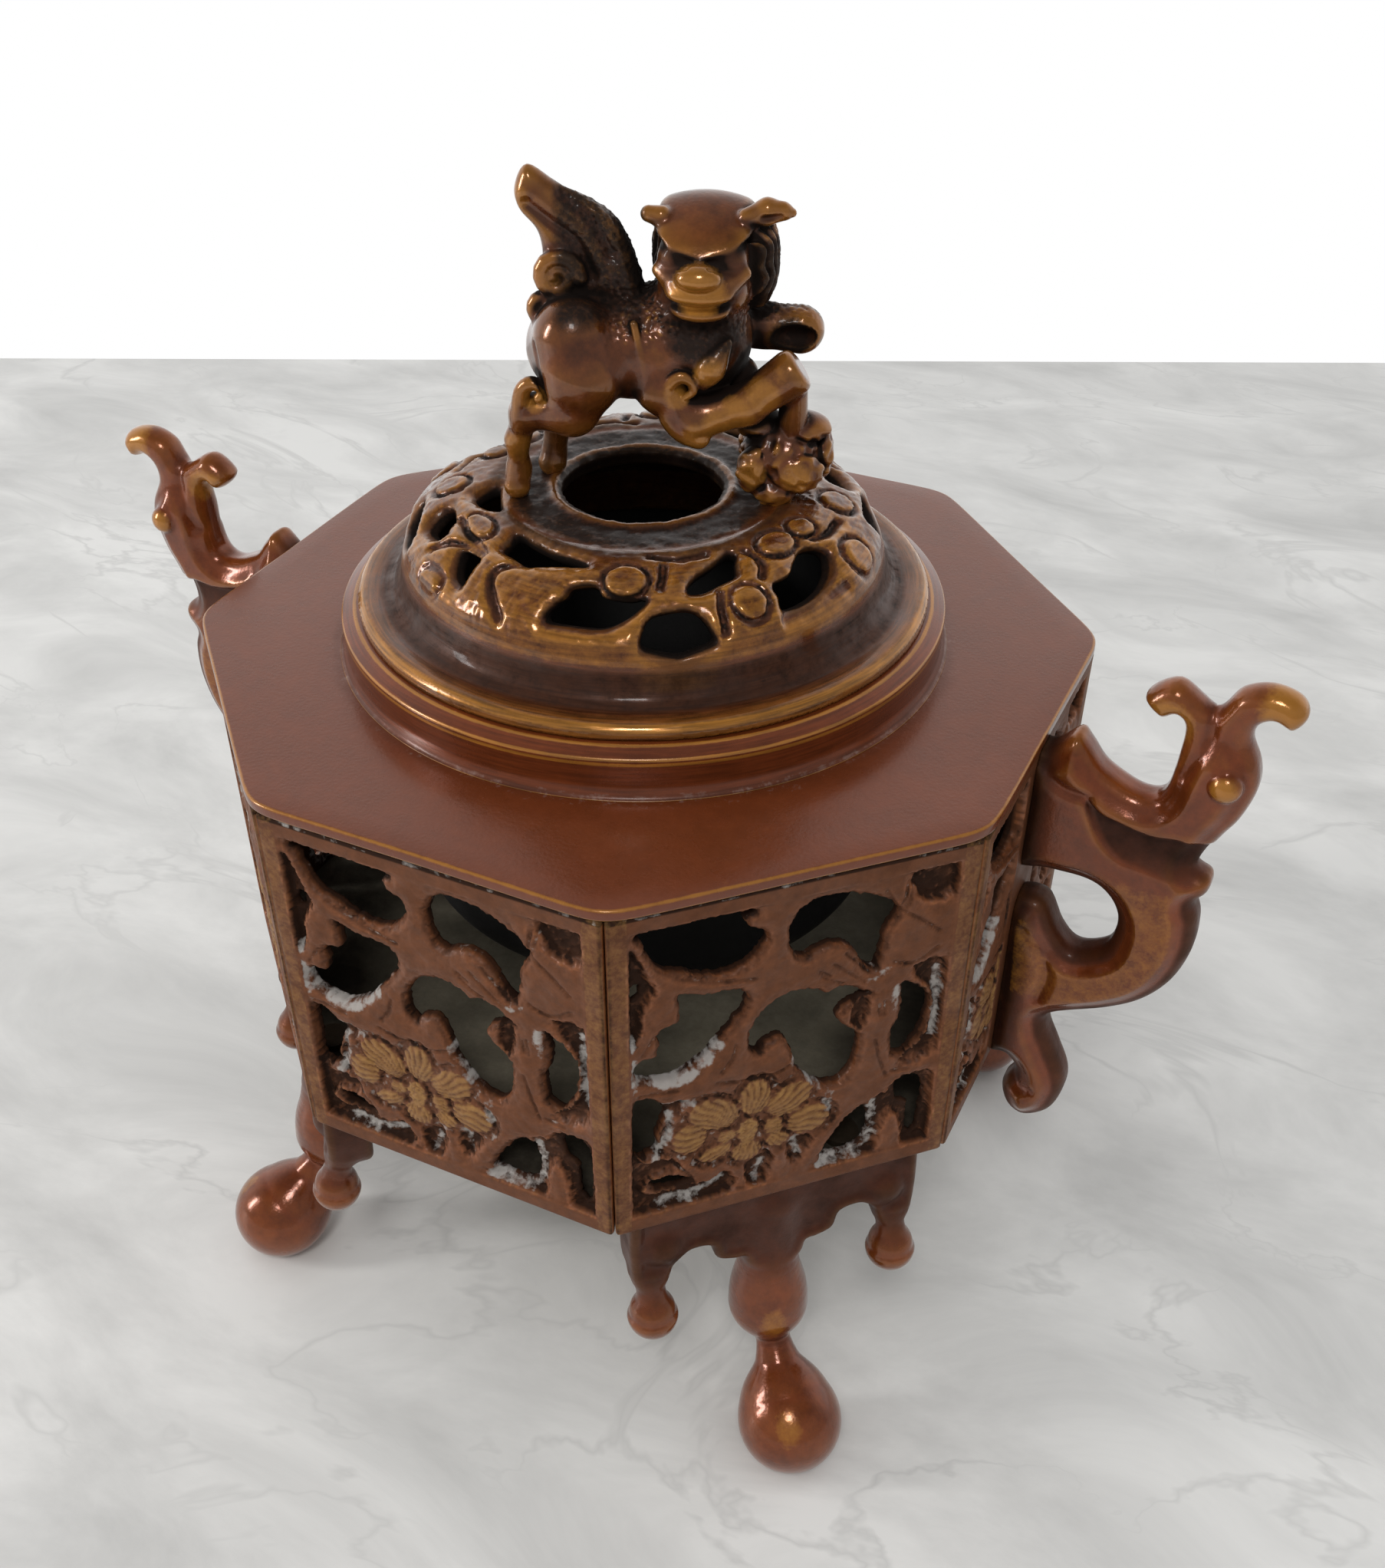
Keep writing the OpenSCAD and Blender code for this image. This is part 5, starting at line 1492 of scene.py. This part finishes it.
def lion_distance():
    """Distance to the lion and its peony ball, with heights above the plate's top."""
    tail_flat = FlatMap(*TAIL_AREA, lambda p: nearest_outline(p, [TAIL_OUTLINE], 5))
    tail_depth = FlatMap(*TAIL_AREA, lambda p: 0.7 * bell(nearest_line(p, TAIL_GROOVES, 5), 0.8))

    def distance(p):
        """Trunk and limbs with ridges and creases, then the head, the tail and the ball on its stalks."""
        solid = ball_chain(p, LION_TRUNK, 3)
        for limb in LION_LIMBS:
            part = ball_chain(p, limb, 1.2)
            if limb is NEAR_FORELEG:
                sole = (p - NEAR_FORELEG[-1][:3]) @ SOLE_WAY - SOLE_REACH
                part = smooth_max(part, sole, 0.7)
            solid = smooth_min(solid, part, 1.3)
        solid = solid + 1.4 * coarse_hair(p) * soft_step(41, 45, p[:, 2]) * soft_step(-6, -2, p[:, 0])
        for ridge in LION_RIDGES:
            solid = smooth_min(solid, ball_chain(p, curve(ridge, 3)), 0.25)
        for crease in LION_CREASES:
            solid = smooth_max(solid, -ball_chain(p, crease), 0.5)
        solid = smooth_min(solid, head_distance(p), 0.9)
        place = p[:, (0, 2)]
        thin = 2.7 - 0.09 * np.maximum(p[:, 2] - 50, 0)
        tail = slab(tail_flat(place), np.abs(p[:, 1] - 0.4) - thin + tail_depth(place), 1.8)
        tail = tail + coarse_hair(p) * soft_step(-11, -6, p[:, 0])
        for middle, radius, tube in TAIL_CURLS:
            tail = smooth_min(tail, curl_distance(p, middle, radius, tube), 0.3)
        solid = smooth_min(solid, tail, 0.8)
        hollow = ellipsoid(p, PAW_HOLLOW, (2.9, 1.8, 1.6))
        solid = smooth_max(solid, -hollow, 0.5)
        ball = ball_chain(p, [LION_BALL])
        for stalk in BALL_STALKS:
            ball = smooth_min(ball, ball_chain(p, stalk), 0.8)
        for x, y, z, along, deep, up in LION_PETALS:
            ball = smooth_min(ball, ellipsoid(p, (x, y, z), (along, deep, up)), 0.12)
        ball = ball + 2.2 * coarse_hair(p * 0.45) * soft_step(31, 29, p[:, 2])
        solid = smooth_min(solid, ball, 0.5)
        return np.maximum(solid, LID_TOP - PLATE_TOP - p[:, 2])

    return distance


class BURNER_OT_lion(bpy.types.Operator):
    """Makes the lion that stands over the vent"""

    bl_idname = "burner.lion"
    bl_label = "Lion"

    def execute(self, context):
        """Makes the lion and turns it with the lid."""
        distance = lion_distance()
        points, quads = skin(distance, *LION_BOX, sizes().fine_step / MM)
        marks = wear_marks(distance, points)
        marks["hollow"] = 1.4 * marks["hollow"]
        marks["soot_hair_and_shade"], marks["gilt"] = lion_marks(points)
        placed = turned(points + (0, 0, PLATE_TOP), LID_TURN)
        piece("lion_skin", placed, quads, marks, lid_bronze(), "lid", ["lion_finial"])
        return {"FINISHED"}


# Fittings and stage

class BURNER_OT_fittings(bpy.types.Operator):
    """Gives the rivets, the pins and the base plate their finish"""

    bl_idname = "burner.fittings"
    bl_label = "Fittings"

    def execute(self, context):
        """Puts a finish on the CAD nodes that keep their shape."""
        for name in ("handle_rivets", "foot_rivets", "lion_pins"):
            finish_node(name, rivet_brass())
        finish_node("base_plate", dusty_bronze())
        return {"FINISHED"}


def finish_node(name, material):
    """Gives a CAD node one material."""
    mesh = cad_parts[name].data
    mesh.materials.clear()
    mesh.materials.append(material)


class BURNER_OT_stage(bpy.types.Operator):
    """Sets the table, the light and the camera"""

    bl_idname = "burner.stage"
    bl_label = "Stage"

    def execute(self, context):
        """Lays the table, lights it from a window on the left, and sets the photograph's camera."""
        lay_table(context.scene)
        set_world(context.scene)
        for name, (sides, watts, place) in LAMPS.items():
            lamp = bpy.data.lights.new(name, "AREA")
            lamp.shape = "RECTANGLE"
            lamp.size, lamp.size_y = sides
            lamp.energy = watts
            back = np.array(place) - LAMP_AIM
            set_up(context.scene, lamp, np.cross((0, 0, 1), back), back, place)
        camera_data = bpy.data.cameras.new("camera")
        camera_data.lens = CAMERA_LENS
        camera_data.sensor_width = CAMERA_SENSOR
        camera_data.clip_start = CAMERA_CLIP
        context.scene.camera = set_up(context.scene, camera_data, CAMERA_RIGHT, CAMERA_BACK, CAMERA_PLACE)
        context.scene.view_settings.view_transform = "Standard"
        return {"FINISHED"}


def set_up(scene, data, right, back, place):
    """Camera or lamp at a place, with its Z axis along back and its X axis as near to right as it can be."""
    back = np.array(back) / np.linalg.norm(back)
    right = right - back * (right @ back)
    right /= np.linalg.norm(right)
    obj = bpy.data.objects.new(data.name, data)
    scene.collection.objects.link(obj)
    obj.matrix_world = Matrix([*zip(right, np.cross(back, right), back, place), (0, 0, 0, 1)])
    return obj


def lay_table(scene):
    """Flat table that ends behind the burner, square to the photograph's view."""
    mesh = bpy.data.meshes.new("table")
    near, far, wide = TABLE_NEAR, TABLE_FAR, TABLE_WIDE
    corners = [(-wide, near), (wide, near), (wide, far), (-wide, far)]
    c, s = math.cos(TABLE_TURN), math.sin(TABLE_TURN)
    mesh.from_pydata([(x * c - y * s, x * s + y * c, 0) for x, y in corners], [], [(0, 1, 2, 3)])
    mesh.materials.append(table_stone())
    floor = bpy.data.objects.new("table", mesh)
    scene.collection.objects.link(floor)


def table_stone():
    """Honed white marble: drawn-out grey clouds, thin broken veins and a dull gloss."""
    material = bpy.data.materials.new("honed_marble")
    material.use_nodes = True
    tree = material.node_tree
    shader = tree.nodes["Principled BSDF"]
    place = add(tree, "TexCoord")["Object"]
    lie = add(tree, "Mapping", {
        "Vector": place, "Rotation": (0, 0, math.radians(-40)), "Scale": (1, 2, 1),
    })[0]
    cloud_size, vein_size = 60 * MM, 90 * MM
    cloud = add(tree, "TexNoise", {
        "Vector": lie, "Scale": 1 / cloud_size, "Detail": 8, "Roughness": 0.62, "Distortion": 0.6,
    })["Fac"]
    line = add(tree, "TexNoise", {
        "Vector": lie, "Scale": 1 / vein_size, "Detail": 5, "Roughness": 0.55, "Distortion": 1.2,
    })["Fac"]
    near = add(tree, "Math", {0: line, 1: 0.5}, operation="SUBTRACT")[0]
    near = add(tree, "Math", {0: near}, operation="ABSOLUTE")[0]
    vein = add(tree, "MapRange", {0: near, 1: 0.0, 2: 0.03, 3: 0.45, 4: 0.0})[0]
    tone = add(tree, "MapRange", {0: cloud, 1: 0.36, 2: 0.7, 4: 0.7})[0]
    amount = add(tree, "Math", {0: tone, 1: vein}, operation="MAXIMUM")[0]
    pale = rgba(colours().table)
    grey = rgba(tuple(c * 0.6 for c in colours().table))
    mixed = add(tree, "Mix", {0: amount, 6: pale, 7: grey}, data_type="RGBA")[2]
    tree.links.new(mixed, shader.inputs["Base Color"])
    shader.inputs["Roughness"].default_value = 0.5
    return material


def set_world(scene):
    """Light that falls mostly from above, and a white wall that the camera and reflections see."""
    world = bpy.data.worlds.new("room")
    scene.world = world
    world.use_nodes = True
    tree = world.node_tree
    path = add(tree, "LightPath")
    way = add(tree, "TexCoord")["Generated"]
    up = add(tree, "SeparateXYZ", {0: way})["Z"]
    seen = path["Is Camera Ray"]
    for ray in ("Is Glossy Ray", "Is Transmission Ray"):
        seen = add(tree, "Math", {0: seen, 1: path[ray]}, operation="MAXIMUM")[0]
    level = add(tree, "MapRange", {0: up, 1: 0.1, 2: 0.7, 3: 0.3, 4: 0.95})[0]
    toward = (-0.43, 0.9, 0)
    behind = add(tree, "VectorMath", {0: way, 1: toward}, operation="DOT_PRODUCT")["Value"]
    wall = add(tree, "MapRange", {0: behind, 1: -0.1, 2: 0.4, 3: 0.35, 4: 1.0})[0]
    overhead = add(tree, "MapRange", {0: up, 1: 0.45, 2: 0.85, 3: 1.0, 4: 0.3})[0]
    bright = add(tree, "Math", {0: wall, 1: overhead}, operation="MULTIPLY")[0]
    soft = add(tree, "Background", {"Color": rgba(colours().daylight), "Strength": level})
    white = add(tree, "Background", {"Color": (1, 1, 1, 1), "Strength": bright})
    mix = add(tree, "MixShader", {0: seen, 1: soft[0], 2: white[0]})
    tree.links.new(mix[0], tree.nodes["World Output"].inputs["Surface"])


# Sidebar

OPERATORS = [
    BURNER_OT_top_plate, BURNER_OT_collar, BURNER_OT_fire_bowl, BURNER_OT_panels, BURNER_OT_feet,
    BURNER_OT_handles, BURNER_OT_lid, BURNER_OT_lion, BURNER_OT_fittings, BURNER_OT_stage,
]


class BURNER_PT_tools(bpy.types.Panel):
    """Lists the burner's pieces"""

    bl_label = "Incense burner"
    bl_idname = "BURNER_PT_tools"
    bl_space_type = "VIEW_3D"
    bl_region_type = "UI"
    bl_category = "Burner"

    def draw(self, context):
        """Draws a button for each piece, then the settings."""
        for operator in OPERATORS:
            self.layout.operator(operator.bl_idname)
        for group in (context.scene.burner_sizes, context.scene.burner_colours):
            for name in group.bl_rna.properties.keys():
                if name not in ("rna_type", "name"):
                    self.layout.prop(group, name)


CLASSES = [BurnerSizes, BurnerColours, *OPERATORS, BURNER_PT_tools]


def register():
    """Registers the classes and the scene's settings."""
    for cls in CLASSES:
        bpy.utils.register_class(cls)
    bpy.types.Scene.burner_sizes = bpy.props.PointerProperty(type=BurnerSizes)
    bpy.types.Scene.burner_colours = bpy.props.PointerProperty(type=BurnerColours)


def unregister():
    """Removes the settings and the classes."""
    del bpy.types.Scene.burner_colours
    del bpy.types.Scene.burner_sizes
    for cls in reversed(CLASSES):
        bpy.utils.unregister_class(cls)


def main():
    register()
    for operator in OPERATORS:
        group, name = operator.bl_idname.split(".")
        getattr(getattr(bpy.ops, group), name)()


if __name__ == "__main__":
    main()
